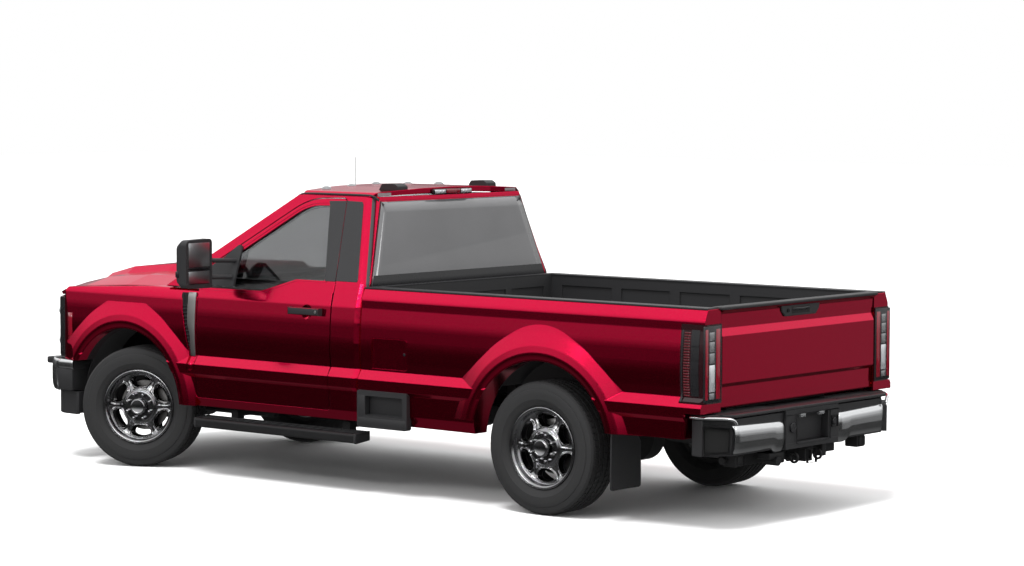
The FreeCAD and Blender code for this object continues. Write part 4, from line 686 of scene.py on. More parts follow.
# door handle: cover, two feet, end caps and key barrel
handle = {"rear": 0.172, "front": 0.440, "low": 1.113, "high": 1.159, "face": 1.011, "foot": 0.972,
          "edge": 0.001}
keyBarrel = {"x": 0.198, "z": 1.136, "radius": 0.0095}
for side in sides:
    edge, face, low, high = handle["edge"], handle["face"], handle["low"], handle["high"]
    addBlock((handle["rear"] - edge, face - 0.016, low - edge),
             (handle["front"] + edge, face + edge, high + edge), 0.008, 3)
    for rear in (handle["rear"] + 0.004, handle["front"] - 0.042):
        front = rear + (0.042 if rear < 0.3 else 0.038)
        addBlock((rear, handle["foot"], low + 0.005), (front, face - 0.01, high - 0.005), 0.006)
    for x in (handle["rear"] - edge, handle["front"] - 0.002):
        addBlock((x, handle["foot"] + 0.003, low - edge), (x + 0.003, face, high + edge))
    finish("doorHandle", blackPlastic, "door", side)
    addRod((keyBarrel["x"], face - 0.002, keyBarrel["z"]), (keyBarrel["x"], face + 0.0035, keyBarrel["z"]),
           keyBarrel["radius"], 24)
    finish("doorLock", brushed, "door", side, bevel=0.001)

# black trim round the side window and on the pillars behind it, as (x, z) outlines
sideWindow = {
    "seal": ((0.176, 1.320), (0.236, 1.822), (0.380, 1.816), (0.450, 1.809), (0.535, 1.780), (0.605, 1.742),
             (1.276, 1.331), (1.276, 1.225), (0.730, 1.225), (0.434, 1.320)),
    "doorCover": ((0.0985, 1.330), (0.160, 1.838), (0.310, 1.834), (0.296, 1.806), (0.188, 1.330)),
    "cabCover": ((-0.086, 1.334), (-0.090, 1.350), (0.010, 1.820), (0.024, 1.836), (0.156, 1.839),
                 (0.0945, 1.334)),
}
for side in sides:
    addRing(onSide(sideWindow["seal"], -0.008), 0.018, (0, 0.0095, 0.0033))
    finish("windowSeal", blackPlastic, "door", side, bevel=0.002)
    for label, outline, body in (("doorPillarCover", "doorCover", "door"),
                                 ("cabPillarCover", "cabCover", "truck")):
        addPlate(onSide(sideWindow[outline], -0.003), (0, 0.005, 0.0017))
        finish(label, glossBlack, body, side, bevel=0.0015)
print("window trim made")

# strips in the roof ditches, down to the corners of the rear window
ditch = ((0.66, 0.700, 1.834), (0.60, 0.728, 1.872), (0.50, 0.731, 1.8785), (0.20, 0.731, 1.8785),
         (-0.010, 0.731, 1.8785), (-0.046, 0.722, 1.872), (-0.066, 0.702, 1.850), (-0.094, 0.682, 1.815))
for side in sides:
    tube("roofDitch", ditch, 0.0075, blackPlastic, side=side, rounds=2)

# small lamps on the front of the roof and the high stop lamp at its rear
roofLamps = {"places": (-0.560, -0.280, 0.0, 0.280, 0.560), "x": 0.585, "z": 1.908}
for y in roofLamps["places"]:
    x, z = roofLamps["x"] - abs(y) * 0.12, roofLamps["z"] - abs(y) * 0.022
    addBall((x, y, z), (0.040, 0.030, 0.026))
    addBall((x, y, z - 0.005), (0.050, 0.037, 0.018))
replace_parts(finish("roofMarkerLamps", lampSmoke, smooth=60), "roof_lamps")
addBlock((-0.094, -0.190, 1.871), (-0.060, 0.190, 1.905), 0.006)
finish("stopLampHousing", glossBlack)
addBlock((-0.098, -0.068, 1.875), (-0.080, 0.068, 1.902), 0.004)
finish("stopLampLens", lampRed)
for y in (0.078, -0.182):
    addBlock((-0.097, y, 1.876), (-0.080, y + 0.104, 1.901), 0.004)
finish("stopLampClear", lampClear)
for y in (0.100, 0.130, -0.130, -0.100):
    addBall((-0.094, y, 1.8885), (0.006, 0.010, 0.010), 16, 8)
finish("stopLampBulbs", lampClear, smooth=60)

# rear window, flush over its opening: half widths and heights of its lower and upper edge
rearWindow = {"low": (0.872, 1.306), "high": (0.694, 1.838), "band": 1.372}
(lowHalf, lowEdge), (highHalf, highEdge) = rearWindow["low"], rearWindow["high"]


def backX(z):
    # the cab's rear face: upright below the belt, leaning forwards above it
    return -0.155 + max(0.0, z - beltHeight) * (0.079 / 0.542)


def paneSheet(low, high, inset, proud):
    # part of the pane between two heights, as a surface for addSheet
    def pane(across, along):
        z = low + (high - low) * along
        half = lowHalf + (highHalf - lowHalf) * (z - lowEdge) / (highEdge - lowEdge) - inset
        return Vector((backX(z) - proud, half * (2 * across - 1), z))
    return pane


addSheet(24, 8, paneSheet(lowEdge, highEdge, 0.0, 0.0065))
finish("rearWindow", rearGlassGrey, thick=0.005, smooth=60)
sealCorners = ((-lowHalf - 0.006, lowEdge - 0.007), (lowHalf + 0.006, lowEdge - 0.007),
               (highHalf + 0.006, highEdge + 0.007), (-highHalf - 0.006, highEdge + 0.007))
addRing([(backX(z) - 0.001, y, z) for y, z in sealCorners], 0.016, (-0.006, 0, 0))
finish("rearWindowSeal", blackPlastic, bevel=0.001)
# gloss black band over the lower part of the rear window: painted dark reflection
addSheet(24, 4, paneSheet(lowEdge + 0.004, rearWindow["band"] + 0.004, 0.004, 0.0078))
finish("rearWindowPaintedReflection", glossBlack, smooth=60)


def screenX(z):
    # the windscreen's outer face: foot at (1.610, 1.234), 1004 mm of run for 632 mm of rise
    return 1.610 - (z - 1.234) * (1004.0 / 632.0)


# windscreen surround and wipers
screenCorners = ((0.905, 1.240), (0.884, 1.330), (0.700, 1.866))
outline = [(screenX(z) + 0.002, y, z + 0.001) for y, z in screenCorners]
addRing(outline + [(x, -y, z) for x, y, z in reversed(outline)], 0.030, (0.002, 0, 0.003))
finish("windscreenSurround", glossBlack, bevel=0.001)
wiperArms = {"left": ((1.556, 0.50, 1.280), (1.552, 0.30, 1.282), (1.540, 0.10, 1.292)),
             "right": ((1.600, -0.12, 1.272), (1.575, -0.42, 1.275), (1.540, -0.62, 1.292))}
for label, arm in wiperArms.items():
    tube("wiperArm_" + label, arm, 0.006, blackPlastic, rounds=2)
    x, y, z = arm[-1]
    addBlock((x - 0.004, y - 0.02, z - 0.006), (x + 0.006, y + 0.50, z + 0.010), 0.002)
    finish("wiperBlade_" + label, blackPlastic)
print("glass and roof trim made")

# door mirrors: rounded shell, two glasses with a rim between them, and a lamp on the side
mirrorPlan = {"rear": 1.040, "front": 1.150, "inner": 1.092, "outer": 1.330, "low": 1.257, "high": 1.580}
mirrorGlasses = (((1.0375, 1.116, 1.398), (1.046, 1.306, 1.556)),
                 ((1.0375, 1.116, 1.290), (1.046, 1.306, 1.372)))
mirrorRims = (((1.0392, 1.106, 1.386), (1.050, 1.316, 1.397)),
              ((1.0392, 1.106, 1.374), (1.050, 1.316, 1.380)))
for side in sides:
    addBlock((mirrorPlan["rear"], mirrorPlan["inner"], mirrorPlan["low"]),
             (mirrorPlan["front"], mirrorPlan["outer"] - 0.001, mirrorPlan["high"]))
    ahead = [v for v in mesh.verts if v.co.x > (mirrorPlan["rear"] + mirrorPlan["front"]) / 2]
    bmesh.ops.scale(mesh, verts=ahead, vec=(1, 0.80, 0.86), space=Matrix.Translation((0, -1.205, -1.42)))
    bmesh.ops.bevel(mesh, geom=mesh.edges[:], offset=0.030, segments=4, profile=0.5, affect="EDGES",
                    material=-1)
    finish("mirrorShell", blackPlastic, "door", side, smooth=60)
    for low, high in mirrorGlasses:
        addBlock(low, high, 0.0035)
    finish("mirrorGlass", mirrorGlass, "door", side)
    for low, high in mirrorRims:
        addBlock(low, high, 0.002)
    addBlock((1.110, 1.300, 1.330), (1.142, 1.3295, 1.372), 0.006)
    finish("mirrorTrim", glossBlack, "door", side)
print("mirrors made")

# tail lamps: deep red lens, ribs and black inner panel on the side, a clear strip on the rear face
tailLamp = {"low": 0.757, "rear": -2.8435, "front": -2.8335, "ribs": 24, "ribStep": 0.0158, "ribHalf": 0.0042}
for side in sides:
    for k in range(tailLamp["ribs"]):
        z = tailLamp["low"] + 0.045 + k * tailLamp["ribStep"]
        y = min(sideY(z), 0.990)
        addBlock((-2.738, y - 0.010, z - tailLamp["ribHalf"]),
                 (-2.694, y + 0.0028, z + tailLamp["ribHalf"]), 0.0012)
    finish("tailLampRibs", darkRedLens, side=side)
    sideStrip(0.800, 1.185, -2.803, -2.744, 0.0016, 10)
    sideStrip(0.766, 1.206, -2.687, -2.676, 0.0020, 10)
    for z in (0.850, 0.930, 1.010, 1.090):
        addBlock((-2.800, sideY(z) - 0.004, z - 0.003), (-2.748, sideY(z) + 0.004, z + 0.003))
    finish("tailLampInner", glossBlack, side=side)
    # pieces of the rear face: name, finish, how proud, and (y, z) corners of each block
    for label, material, proud, bevel, blocks in (
        ("Housing", glossBlack, 0.001, 0.004, ((0.818, 0.762, 0.984, 1.208),)),
        ("Clear", lampSmoke, 0.0025, 0.004, tuple((0.884, low, 0.936, high) for low, high in (
            (0.782, 0.818), (0.990, 1.050), (1.056, 1.116), (1.122, 1.172)))),
        ("Reverse", lampClear, 0.003, 0.005, ((0.880, 0.824, 0.938, 0.982),)),
        ("Rear", lampRed, 0.0022, 0.004, ((0.946, 0.780, 0.976, 1.190), (0.828, 0.780, 0.872, 1.190))),
    ):
        for y0, z0, y1, z1 in blocks:
            addBlock((tailLamp["rear"] - proud, y0, z0), (tailLamp["front"], y1, z1), bevel)
        finish("tailLamp" + label, material, side=side)
print("tail lamps made")

# tailgate: black cap along its top edge and handle panel
gateCap = {"rear": -2.858, "front": -2.774, "half": 0.822, "low": 1.294, "high": 1.3125}
addBlock((gateCap["rear"], -gateCap["half"], gateCap["low"]),
         (gateCap["front"], gateCap["half"], gateCap["high"]), 0.006, 3)
finish("gateTopCap", blackPlastic, "tailgate")
panelCorners = ((-0.205, 1.296), (0.205, 1.296), (0.196, 1.252), (0.162, 1.218), (-0.162, 1.218),
                (-0.196, 1.252))
addPlate([(-2.828, y, z) for y, z in panelCorners], (-0.012, 0, 0))
finish("gateHandlePanel", blackPlastic, "tailgate", bevel=0.004)
# near-black recess behind the handle: painted shade
addBlock((-2.8415, -0.095, 1.232), (-2.835, 0.095, 1.272), 0.002)
finish("gateHandleRecessShade", paintedShadeBlack, "tailgate")
addBlock((-2.8455, -0.088, 1.250), (-2.836, 0.088, 1.268), 0.004)
addRod((-2.838, 0.135, 1.254), (-2.847, 0.135, 1.252), 0.011, 20)
finish("gateHandle", glossBlack, "tailgate", bevel=0.001)
print("tailgate dressed")

# rear bumper: black body with slanted corners, bright faces and a bright rim along the top of each corner
rearBumper = {"rear": -2.944, "low": 0.434, "high": 0.671, "side": 0.962, "cornerFront": -2.815,
              "cornerInner": 0.800, "inner": 0.283, "innerBody": 0.276, "front": -2.724}
bumperCrown = ((0.0, 0.034), (0.05, 0.018), (0.16, 0.008), (0.40, 0.0015), (0.66, 0.0), (0.82, 0.004),
               (0.92, 0.011), (1.0, 0.026))


def bumperFace(across, along):
    y = rearBumper["inner"] + (rearBumper["cornerInner"] - 0.006 - rearBumper["inner"]) * across
    drop = 0.026 / (1 + math.exp((y - 0.395) / 0.007))
    low, high = 0.452 - drop, 0.616 + 0.014 * across
    x = rearBumper["rear"] + 0.004 + alongPoints(bumperCrown, along) + 0.014 * (abs(2 * across - 1)) ** 14
    return Vector((x, y, low + (high - low) * along))


def rearPlan(step):
    # outline of the bumper in plan, from the plate recess round to its front end
    back, corner, side = rearBumper["rear"] + step, rearBumper["cornerInner"], rearBumper["side"] - step
    return [(back + 0.018, rearBumper["innerBody"]), (back + 0.018, corner - 0.010),
            (back + 0.056, corner + 0.004), (rearBumper["cornerFront"] + 0.020, 0.930),
            (rearBumper["cornerFront"] + step * 0.4, side), (rearBumper["front"], side - 0.006),
            (rearBumper["front"], 0.88), (-2.80, 0.80), (-2.80, rearBumper["innerBody"])]


# the slanted corner, as a start, a direction along it and the direction out of it
slantFrom = Vector((rearBumper["rear"] + 0.014, rearBumper["cornerInner"] + 0.012, 0))
slantAlong = (Vector((rearBumper["cornerFront"], rearBumper["side"], 0)) - slantFrom).normalized()
slantOut = Vector((-abs(slantAlong.y), slantAlong.x, 0))


def onSlant(points, sunk):
    return [slantFrom + slantAlong * a - slantOut * sunk + Vector((0, 0, z)) for a, z in points]


rim = ((-2.728, 0.961, 0.674), (-2.815, 0.960, 0.673), (-2.862, 0.915, 0.671), (-2.925, 0.838, 0.668),
       (-2.936, 0.806, 0.656), (-2.939, 0.797, 0.632))
stepTread = {"bars": 7, "pitch": 0.022, "wide": 0.010, "rear": -2.885, "low": 0.6895, "high": 0.6930}
shells = []
for side in sides:
    addSheet(48, 20, bumperFace)
    shells.append(finish("rearBumperShell", bumperChrome, side=side, thick=0.006, smooth=60))
    low = rearBumper["low"] + 0.012
    addPlate([(x, y, low) for x, y in rearPlan(0.012)], (0, 0, rearBumper["high"] - 0.008 - low))
    finish("rearBumperBody", blackPlastic, side=side, bevel=0.008, segments=3)
    addRing(onSlant(((0.004, 0.452), (0.180, 0.452), (0.186, 0.630), (-0.004, 0.612)), 0.040), 0.024,
            slantOut * 0.046)
    finish("cornerPadFrame", blackPlastic, side=side, bevel=0.006, segments=3)
    # near-black plate inside the corner pocket frame: painted shade
    addPlate(onSlant(((0.024, 0.470), (0.166, 0.470), (0.166, 0.612), (0.016, 0.598)), 0.029),
             slantOut * 0.002)
    finish("cornerPocketShade", paintedShadeBlack, side=side)
    tube("rearBumperRim", rim, 0.0105, bumperChrome, side=side, order=4)
    for k in range(stepTread["bars"]):
        x = stepTread["rear"] + k * stepTread["pitch"]
        addBlock((x, 0.330, stepTread["low"]),
                 (x + stepTread["wide"], 0.870 - k * 0.004, stepTread["high"]), 0.001)
    finish("stepTread", blackPlastic, side=side)
    addBlock((-2.858, 0.600, 0.365), (-2.765, 0.690, 0.440), 0.008)
    addRing(acrossPlane(-2.860, (0.612, 0.375), (0.678, 0.430)), 0.010, (-0.006, 0, 0))
    addRod((-2.78, 0.62, 0.40), (-2.78, 0.72, 0.40), 0.022, 20)
    finish("bumperBracket", chassisBlack, side=side)
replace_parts(shells[0], "rear_bumper")

# step along the bumper's top and the plate recess in its middle
stepPlan = ((-2.936, 0.276), (-2.936, 0.794), (-2.809, 0.957), (-2.724, 0.954))
stepLow, stepThick = 0.6715, 0.018
addPlate([(x, y, stepLow) for x, y in stepPlan] + [(x, -y, stepLow) for x, y in reversed(stepPlan)],
         (0, 0, stepThick))
addBlock((-2.80, -0.80, 0.50), (-2.74, 0.80, stepLow))
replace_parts(finish("bumperStepTop", blackPlastic, bevel=0.004), "rear_bumper_step")
recess = {"rear": -2.932, "front": -2.862, "floor": -2.880, "half": 0.280, "opening": 0.170, "low": 0.472,
          "high": 0.640}
for rear, (y0, z0), (y1, z1) in (
    (recess["rear"], (-recess["half"], 0.436), (recess["half"], recess["low"])),
    (recess["rear"], (-recess["half"], recess["high"]), (recess["half"], stepLow)),
    (recess["rear"], (recess["opening"], recess["low"]), (recess["half"], recess["high"])),
    (recess["rear"], (-recess["half"], recess["low"]), (-recess["opening"], recess["high"])),
    (recess["floor"], (-recess["opening"], recess["low"]), (recess["opening"], recess["high"])),
):
    addBlock((rear, y0, z0), (recess["front"], y1, z1))
finish("bumperCentre", blackPlastic, bevel=0.003)
addRing(acrossPlane(-2.934, (-0.178, 0.466), (0.178, 0.645)), 0.010, (-0.010, 0, 0))
finish("plateRecessFrame", blackPlastic, bevel=0.003)
for y in (-0.10, 0.10):
    addBlock((-2.934, y - 0.028, 0.618), (-2.915, y + 0.028, 0.640), 0.004)
finish("plateLamps", lampSmoke)
addRing(acrossPlane(-2.935, (-0.252, 0.535), (-0.190, 0.605)), 0.010, (-0.012, 0, 0))
addRod((-2.932, -0.221, 0.570), (-2.946, -0.221, 0.570), 0.020, 24)
addRod((-2.932, 0.215, 0.565), (-2.944, 0.215, 0.565), 0.030, 28)
finish("trailerPlugs", glossBlack, bevel=0.002)

# hitch: collar round the receiver, plug bracket and chain loops
addRing(acrossPlane(-2.936, (-0.046, 0.335), (0.046, 0.427)), 0.014, (0.018, 0, 0))
addBlock((-2.87, 0.20, 0.350), (-2.80, 0.245, 0.425), 0.006)
addBlock((-2.90, 0.255, 0.385), (-2.80, 0.400, 0.425), 0.008)
addBlock((-2.87, -0.245, 0.350), (-2.80, -0.20, 0.425), 0.006)
addRod((-2.915, 0.330, 0.372), (-2.830, 0.330, 0.372), 0.027, 24)
finish("hitchCollar", chassisBlack, bevel=0.002)
for side in sides:
    tube("chainLoop", circlePoints((-2.885, 0.125, 0.372), 0.030), 0.008, chassisBlack, side=side,
         cyclic=True, order=4)
print("rear bumper made")

# cargo box: tie loops on its inner walls and bolts in its floor
for side in sides:
    for k, x in enumerate((-2.55, -0.42)):
        tube("tieLoop%d" % k, circlePoints((x, 0.846, 0.880), 0.026, lean=0.004), 0.005, chassisBlack,
             side=side, cyclic=True, order=4)
for x in (-2.60, -2.05, -1.55, -1.03, -0.53):
    for y in (-0.56, -0.28, 0.0, 0.28, 0.56):
        addRod((x, y, 0.7705), (x, y, 0.7745), 0.011, 8)
finish("floorBolts", liner)

# step let into the cargo box side: lining, tread and lip
boxStep = {"rear": -0.551, "front": -0.237, "low": 0.508, "high": 0.635, "mouth": 0.972, "deep": 0.086,
           "lipFront": -0.176, "lipInner": 1.004, "lipOuter": 1.021}
for side in sides:
    corners = [(boxStep[x], boxStep["mouth"], boxStep[z]) for x, z in (
        ("rear", "low"), ("front", "low"), ("front", "high"), ("rear", "high"))]
    made = bmesh.ops.extrude_face_region(mesh, geom=[mesh.faces.new([mesh.verts.new(p) for p in corners])])
    inner = [g for g in made["geom"] if isinstance(g, bmesh.types.BMVert)]
    bmesh.ops.translate(mesh, verts=inner, vec=(0, -boxStep["deep"], 0))
    finish("boxStepLining", blackPlastic, side=side)
    for k in range(4):
        y = 0.905 + k * 0.028
        addBlock((-0.535, y, 0.5125), (-0.253, y + 0.010, 0.5175), 0.0015)
    finish("boxStepTread", blackPlastic, side=side)
    addBlock((-0.236, boxStep["lipInner"], 0.500), (boxStep["lipFront"], boxStep["lipOuter"], 0.640), 0.006)
    addBlock((-0.582, boxStep["lipInner"], 0.4375),
             (boxStep["lipFront"], boxStep["lipOuter"] + 0.001, 0.500), 0.010)
    finish("boxStepLip", blackPlastic, side=side)

# running boards: ribbed tread pads and end caps
board = {"rear": -0.150, "front": 1.290, "inner": 0.888, "ribs": 6, "ribStep": 0.019}
boardEnd = ((0.878, 0.392), (0.878, 0.330), (1.008, 0.317), (1.020, 0.330), (1.018, 0.381))
for side in sides:
    for k in range(board["ribs"]):
        y = board["inner"] + 0.012 + k * board["ribStep"]
        addBlock((board["rear"] + 0.03, y, 0.3835),
                 (board["front"] - 0.03, y + 0.008, 0.3915 - k * 0.0018), 0.001)
    finish("boardTread", glossBlack, side=side)
    for x in (board["rear"] - 0.004, board["front"] - 0.014):
        addPlate([(x, y, z) for y, z in boardEnd], (0.018, 0, 0))
    finish("boardEnd", blackPlastic, side=side, bevel=0.004)
print("steps and boards dressed")

# fuel door latch button, and side markers at the front corners
addRod((-0.532, 0.974, 0.905), (-0.532, 0.9805, 0.905), 0.010, 20)
finish("fuelLatch", glossBlack, "fuel_door", bevel=0.0015)
for side in sides:
    sideStrip(0.822, 1.012, 2.504, 2.546, 0.0015, 6)
    finish("sideMarker", lampRed, side=side, thick=0.004)

# grille: three bright bars across a fine dark mesh
grilleTrim = {"half": 0.585, "bars": ((0.874, 0.916, 0.012), (0.712, 0.738, 0.008), (1.060, 1.092, 0.008)),
              "fields": ((0.738, 0.872), (0.918, 1.060)), "columns": 31, "pitch": 0.038, "edge": 0.570}


def noseX(y):
    return 2.882 - 0.032 * (abs(y) / 0.64) ** 2.6


for low, high, proud in grilleTrim["bars"]:
    def barFace(across, along):
        y = grilleTrim["half"] * (2 * across - 1)
        x = noseX(y) + proud * math.sin(math.pi * along) ** 0.5 + 0.001
        return Vector((x, y, low + (high - low) * along))
    addSheet(32, 8, barFace)
finish("grilleBars", bumperChrome, thick=0.01, smooth=60)
for low, high in grilleTrim["fields"]:
    for k in range(grilleTrim["columns"]):
        for row, z in enumerate((low + 0.02, (low + high) / 2, high - 0.02)):
            y = -grilleTrim["edge"] + (k + 0.5 * (row % 2)) * grilleTrim["pitch"]
            if abs(y) < grilleTrim["edge"] + 0.002:
                addRod((2.790, y, z), (2.812, y, z), 0.021, 6)
finish("grilleMesh", glossBlack, bevel=0.002)

# headlamps: black housings, lamp units and a light strip behind the lens edge
housingPlan = ((2.8505, 0.652), (2.8180, 0.765), (2.7240, 0.896), (2.660, 0.925), (2.66, 0.652))
lampUnits = ((2.838, 0.705, 1.007), (2.838, 0.705, 0.802), (2.796, 0.800, 1.007), (2.796, 0.800, 0.802))
for side in sides:
    for low, high in ((0.712, 0.892), (0.916, 1.098)):
        addPlate([(x, y, low) for x, y in housingPlan], (0, 0, high - low))
    finish("headlampHousing", glossBlack, side=side, bevel=0.004)
    for x, y, z in lampUnits:
        addRod((x - 0.03, y, z), (x + 0.003, y, z), 0.038, 28)
        addBall((x + 0.002, y, z), (0.010, 0.032, 0.032))
    finish("headlampUnits", lampClear, side=side, smooth=50)
    strip = [(2.858 - (y - 0.64) * 0.45, y, z) for y, z in (
        (0.648, 0.700), (0.648, 1.104), (0.850, 1.104), (0.850, 0.700))]
    addRing(strip, 0.020, (0.008, 0.003, 0))
    finish("headlampStrip", lampClear, side=side, bevel=0.003)
print("front lamps and grille made")

# front bumper: bright shell with openings, dark ends, fog lamps and hooks
frontBumper = {"low": 0.472, "high": 0.689, "lipLow": 0.622, "openLow": 0.497, "openHigh": 0.598,
               "middle": 0.43, "lampInner": 0.555, "lampOuter": 0.705}


def frontX(y):
    y = abs(y)
    if y < 0.56:
        return 2.944 - 0.044 * (y / 0.56) ** 2
    if y < 0.90:
        return 2.900 - 0.100 * ((y - 0.56) / 0.34) ** 1.5
    return 2.800 - 0.16 * ((y - 0.90) / 0.100) ** 1.3


def frontFace(across, along):
    y = 2 * across - 1
    edge = abs(2 * along - 1)
    z = frontBumper["low"] + (frontBumper["high"] - frontBumper["low"]) * along
    return Vector((frontX(y) - 0.022 * edge ** 4 + 0.002, y, z))


def endLip(across, along):
    # bright lip along the top of the bumper's end
    edge = abs(2 * along - 1)
    z = frontBumper["lipLow"] + (frontBumper["high"] - frontBumper["lipLow"]) * along
    return Vector((2.484 + 0.158 * across, 1.0055 - 0.006 * across - 0.012 * edge ** 4, z))


def inOpening(face):
    _, y, z = face.calc_center_median()
    if not frontBumper["openLow"] < z < frontBumper["openHigh"]:
        return False
    return abs(y) < frontBumper["middle"] or frontBumper["lampInner"] < abs(y) < frontBumper["lampOuter"]


addSheet(80, 12, frontFace)
bmesh.ops.delete(mesh, geom=[face for face in mesh.faces if inOpening(face)], context="FACES")
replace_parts(finish("frontBumperShell", bumperChrome, thick=0.006, smooth=60), "front_bumper")
towHook = [(x, 0.47, z) for x, z in (
    (2.82, 0.52), (2.93, 0.50), (2.945, 0.485), (2.92, 0.462), (2.86, 0.466))]
endBlocks = (
    ((2.468, 0.905, 0.318), (2.494, 0.962, 0.468), 0.006),
    ((2.490, 0.830, 0.476), (2.640, 1.001, 0.626), 0.010),
    ((2.490, 0.830, 0.620), (2.520, 0.992, 0.684), 0.006),
    ((2.500, 0.940, 0.480), (2.640, 0.994, 0.680), 0.006),
)
for side in sides:
    addSheet(10, 12, endLip)
    finish("frontBumperEnd", bumperChrome, side=side, thick=0.006, smooth=60)
    addRod((2.80, 0.63, 0.548), (2.850, 0.63, 0.548), 0.042, 32)
    addBall((2.850, 0.63, 0.548), (0.012, 0.036, 0.036))
    finish("fogLamp", lampClear, side=side, smooth=50)
    for low, high, bevel in endBlocks:
        addBlock(low, high, bevel)
    finish("airFlap", blackPlastic, side=side)
    tube("towHook", towHook, 0.011, chassisBlack, side=side)
for z in (0.505, 0.530, 0.555, 0.580):
    addBlock((2.845, -0.43, z), (2.875, 0.43, z + 0.007), 0.001)
addBlock((2.80, -0.46, 0.492), (2.845, 0.46, 0.604))
finish("intakeGrid", glossBlack)
addBlock((2.49, -0.90, 0.640), (2.86, 0.90, 0.686), 0.01)
finish("bumperCore", blackPlastic)
print("front bumper made")

# bench seat in three places, each as its middle across the cab and half width, with head rests
seat = {"cushionRear": 0.075, "cushionFront": 0.560, "cushionHeight": 0.868, "backFoot": 0.110,
        "backTop": -0.050, "backLow": 0.930, "backHigh": 1.420, "half": 0.690}
seatPlaces = ((0.415, 0.265), (0.0, 0.130), (-0.415, 0.265))
seatBackEdge = ((0.060, 0.860), (-0.090, 1.400), (-0.070, 1.405), (0.100, 0.870))


def addCushion(centre, half, lean, crown):
    # closed pad: its faces swell, its sides pull in between the corners, and two seams run along it
    bmesh.ops.create_cube(mesh, size=2.0)
    bmesh.ops.subdivide_edges(mesh, edges=mesh.edges[:], cuts=9, use_grid_fill=True)
    for vert in mesh.verts:
        a, b, c = vert.co
        swell = (1 - a * a) * (1 - b * b)
        pull = 1 + 0.035 * (1 - c * c)
        seam = 0.012 if abs(abs(b) - 0.62) < 0.06 and abs(a) < 0.86 else 0.0
        vert.co = Vector((a * half[0] * (1 - 0.05 * (1 - b * b)) * pull,
                          b * half[1] * (1 - 0.04 * (1 - a * a)) * pull,
                          c * (half[2] * (0.80 + 0.20 * swell ** 0.5) + crown * swell - seam)))
    bmesh.ops.rotate(mesh, verts=mesh.verts, cent=(0, 0, 0), matrix=Matrix.Rotation(lean, 3, "Y"))
    bmesh.ops.translate(mesh, verts=mesh.verts, vec=centre)


addBlock((0.070, -seat["half"], 0.602), (0.520, seat["half"], 0.790), 0.012)
addPlate([(x, -seat["half"], z) for x, z in seatBackEdge], (0, 2 * seat["half"], 0))
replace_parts(finish("seatFrame", interior), "seat")
lean = math.atan2(seat["backFoot"] - seat["backTop"], seat["backHigh"] - seat["backLow"])
middle = (seat["cushionFront"] + seat["cushionRear"]) / 2
depth = (seat["cushionFront"] - seat["cushionRear"]) / 2
for k, (y, half) in enumerate(seatPlaces):
    addCushion((middle, y, seat["cushionHeight"]), (depth, half, 0.066), math.radians(-3), 0.016)
    finish("seatCushion%d" % k, cloth, smooth=80, levels=1)
    addCushion((0.040, y, 1.165), (0.238, half, 0.050), math.pi / 2 - lean, 0.014)
    finish("seatBack%d" % k, cloth, smooth=80, levels=1)
for label, y in (("left", 0.43), ("right", -0.43)):
    addCushion((-0.035, y, 1.510), (0.078, 0.118, 0.036), math.pi / 2 - 0.12, 0.008)
    finish("headRest_" + label, cloth, smooth=80, levels=1)
    for step in (-0.060, 0.060):
        addRod((-0.040, y + step, 1.395), (-0.036, y + step, 1.460), 0.007)
    finish("headRestPosts_" + label, brushed)
print("seat made")

# dashboard: screen, hood over the dials and air vents; mirror on the windscreen and sun visors above it
addBlock((0.985, -0.150, 1.035), (1.030, 0.150, 1.190), 0.008)
addBlock((1.000, 0.270, 1.100), (1.150, 0.530, 1.205), 0.025)
for y in (0.72, 0.20, -0.20, -0.72):
    addBlock((0.996, y - 0.06, 1.080), (1.030, y + 0.06, 1.125), 0.008)
addBlock((0.960, -0.17, 0.900), (1.060, 0.17, 1.020), 0.02)
finish("dashPieces", interior)
addBlock((0.983, -0.135, 1.050), (0.987, 0.135, 1.175), 0.001)
finish("dashScreen", glossBlack)
addBlock((0.800, -0.125, 1.640), (0.826, 0.125, 1.700), 0.010)
addRod((0.826, 0, 1.680), (0.868, 0, 1.695), 0.010)
for y in (0.36, -0.36):
    addBlock((0.500, y - 0.22, 1.842), (0.620, y + 0.22, 1.856), 0.005)
finish("insideMirror", interior)
for side in sides:
    addBlock((0.220, 0.835, 0.955), (0.980, 0.906, 1.010), 0.016)
    addBlock((0.240, 0.880, 0.620), (1.200, 0.906, 0.760), 0.010)
    addRod((1.000, 0.870, 1.150), (1.000, 0.906, 1.150), 0.012)
    finish("doorArmRest", interior, "door", side=side)
print("cab inside made")

# brakes behind the wheels, seen through the windows: two rubbing faces with a slot between them
brake = {"radius": 0.168, "slot": 0.156, "bore": 0.095}
brakeProfile = ((-0.012, "radius"), (-0.020, "radius"), (-0.020, "slot"), (-0.026, "slot"),
                (-0.026, "radius"), (-0.034, "radius"), (-0.034, "bore"), (-0.012, "bore"))
for tag in wheelPlaces:
    addSpun([(depth, brake[edge]) for depth, edge in brakeProfile], steps=64)
    finishOnWheel("brakeDisc", tag, brushed, smooth=30)
print("brakes made")

# grey levels of the surroundings from straight down to straight up: a dark horizon, a bright sky
airLevels = ((0.0, 0.16), (0.28, 0.09), (0.40, 0.02), (0.46, 0.024), (0.50, 0.09), (0.53, 0.34), (0.56, 0.60),
             (0.60, 1.0), (1.0, 1.35))
# name, place, aim, size and power of each area light
areaLights = (
    ("overheadLight", (0, 1.5, 6.0), (0, 0, 0), (7.5, 2.6), 260),
    ("sideLight", (-1.5, 9.0, 5.5), (0, 0, 1.2), (8.0, 1.4), 240),
    ("rearLight", (-9.0, 0.0, 4.6), (-2, 0, 1.0), (3.6, 1.4), 90),
    ("farRearLight", (-10.0, -9.6, 1.0), (-2.8, 0, 1.0), (7.0, 4.6), 26),
)


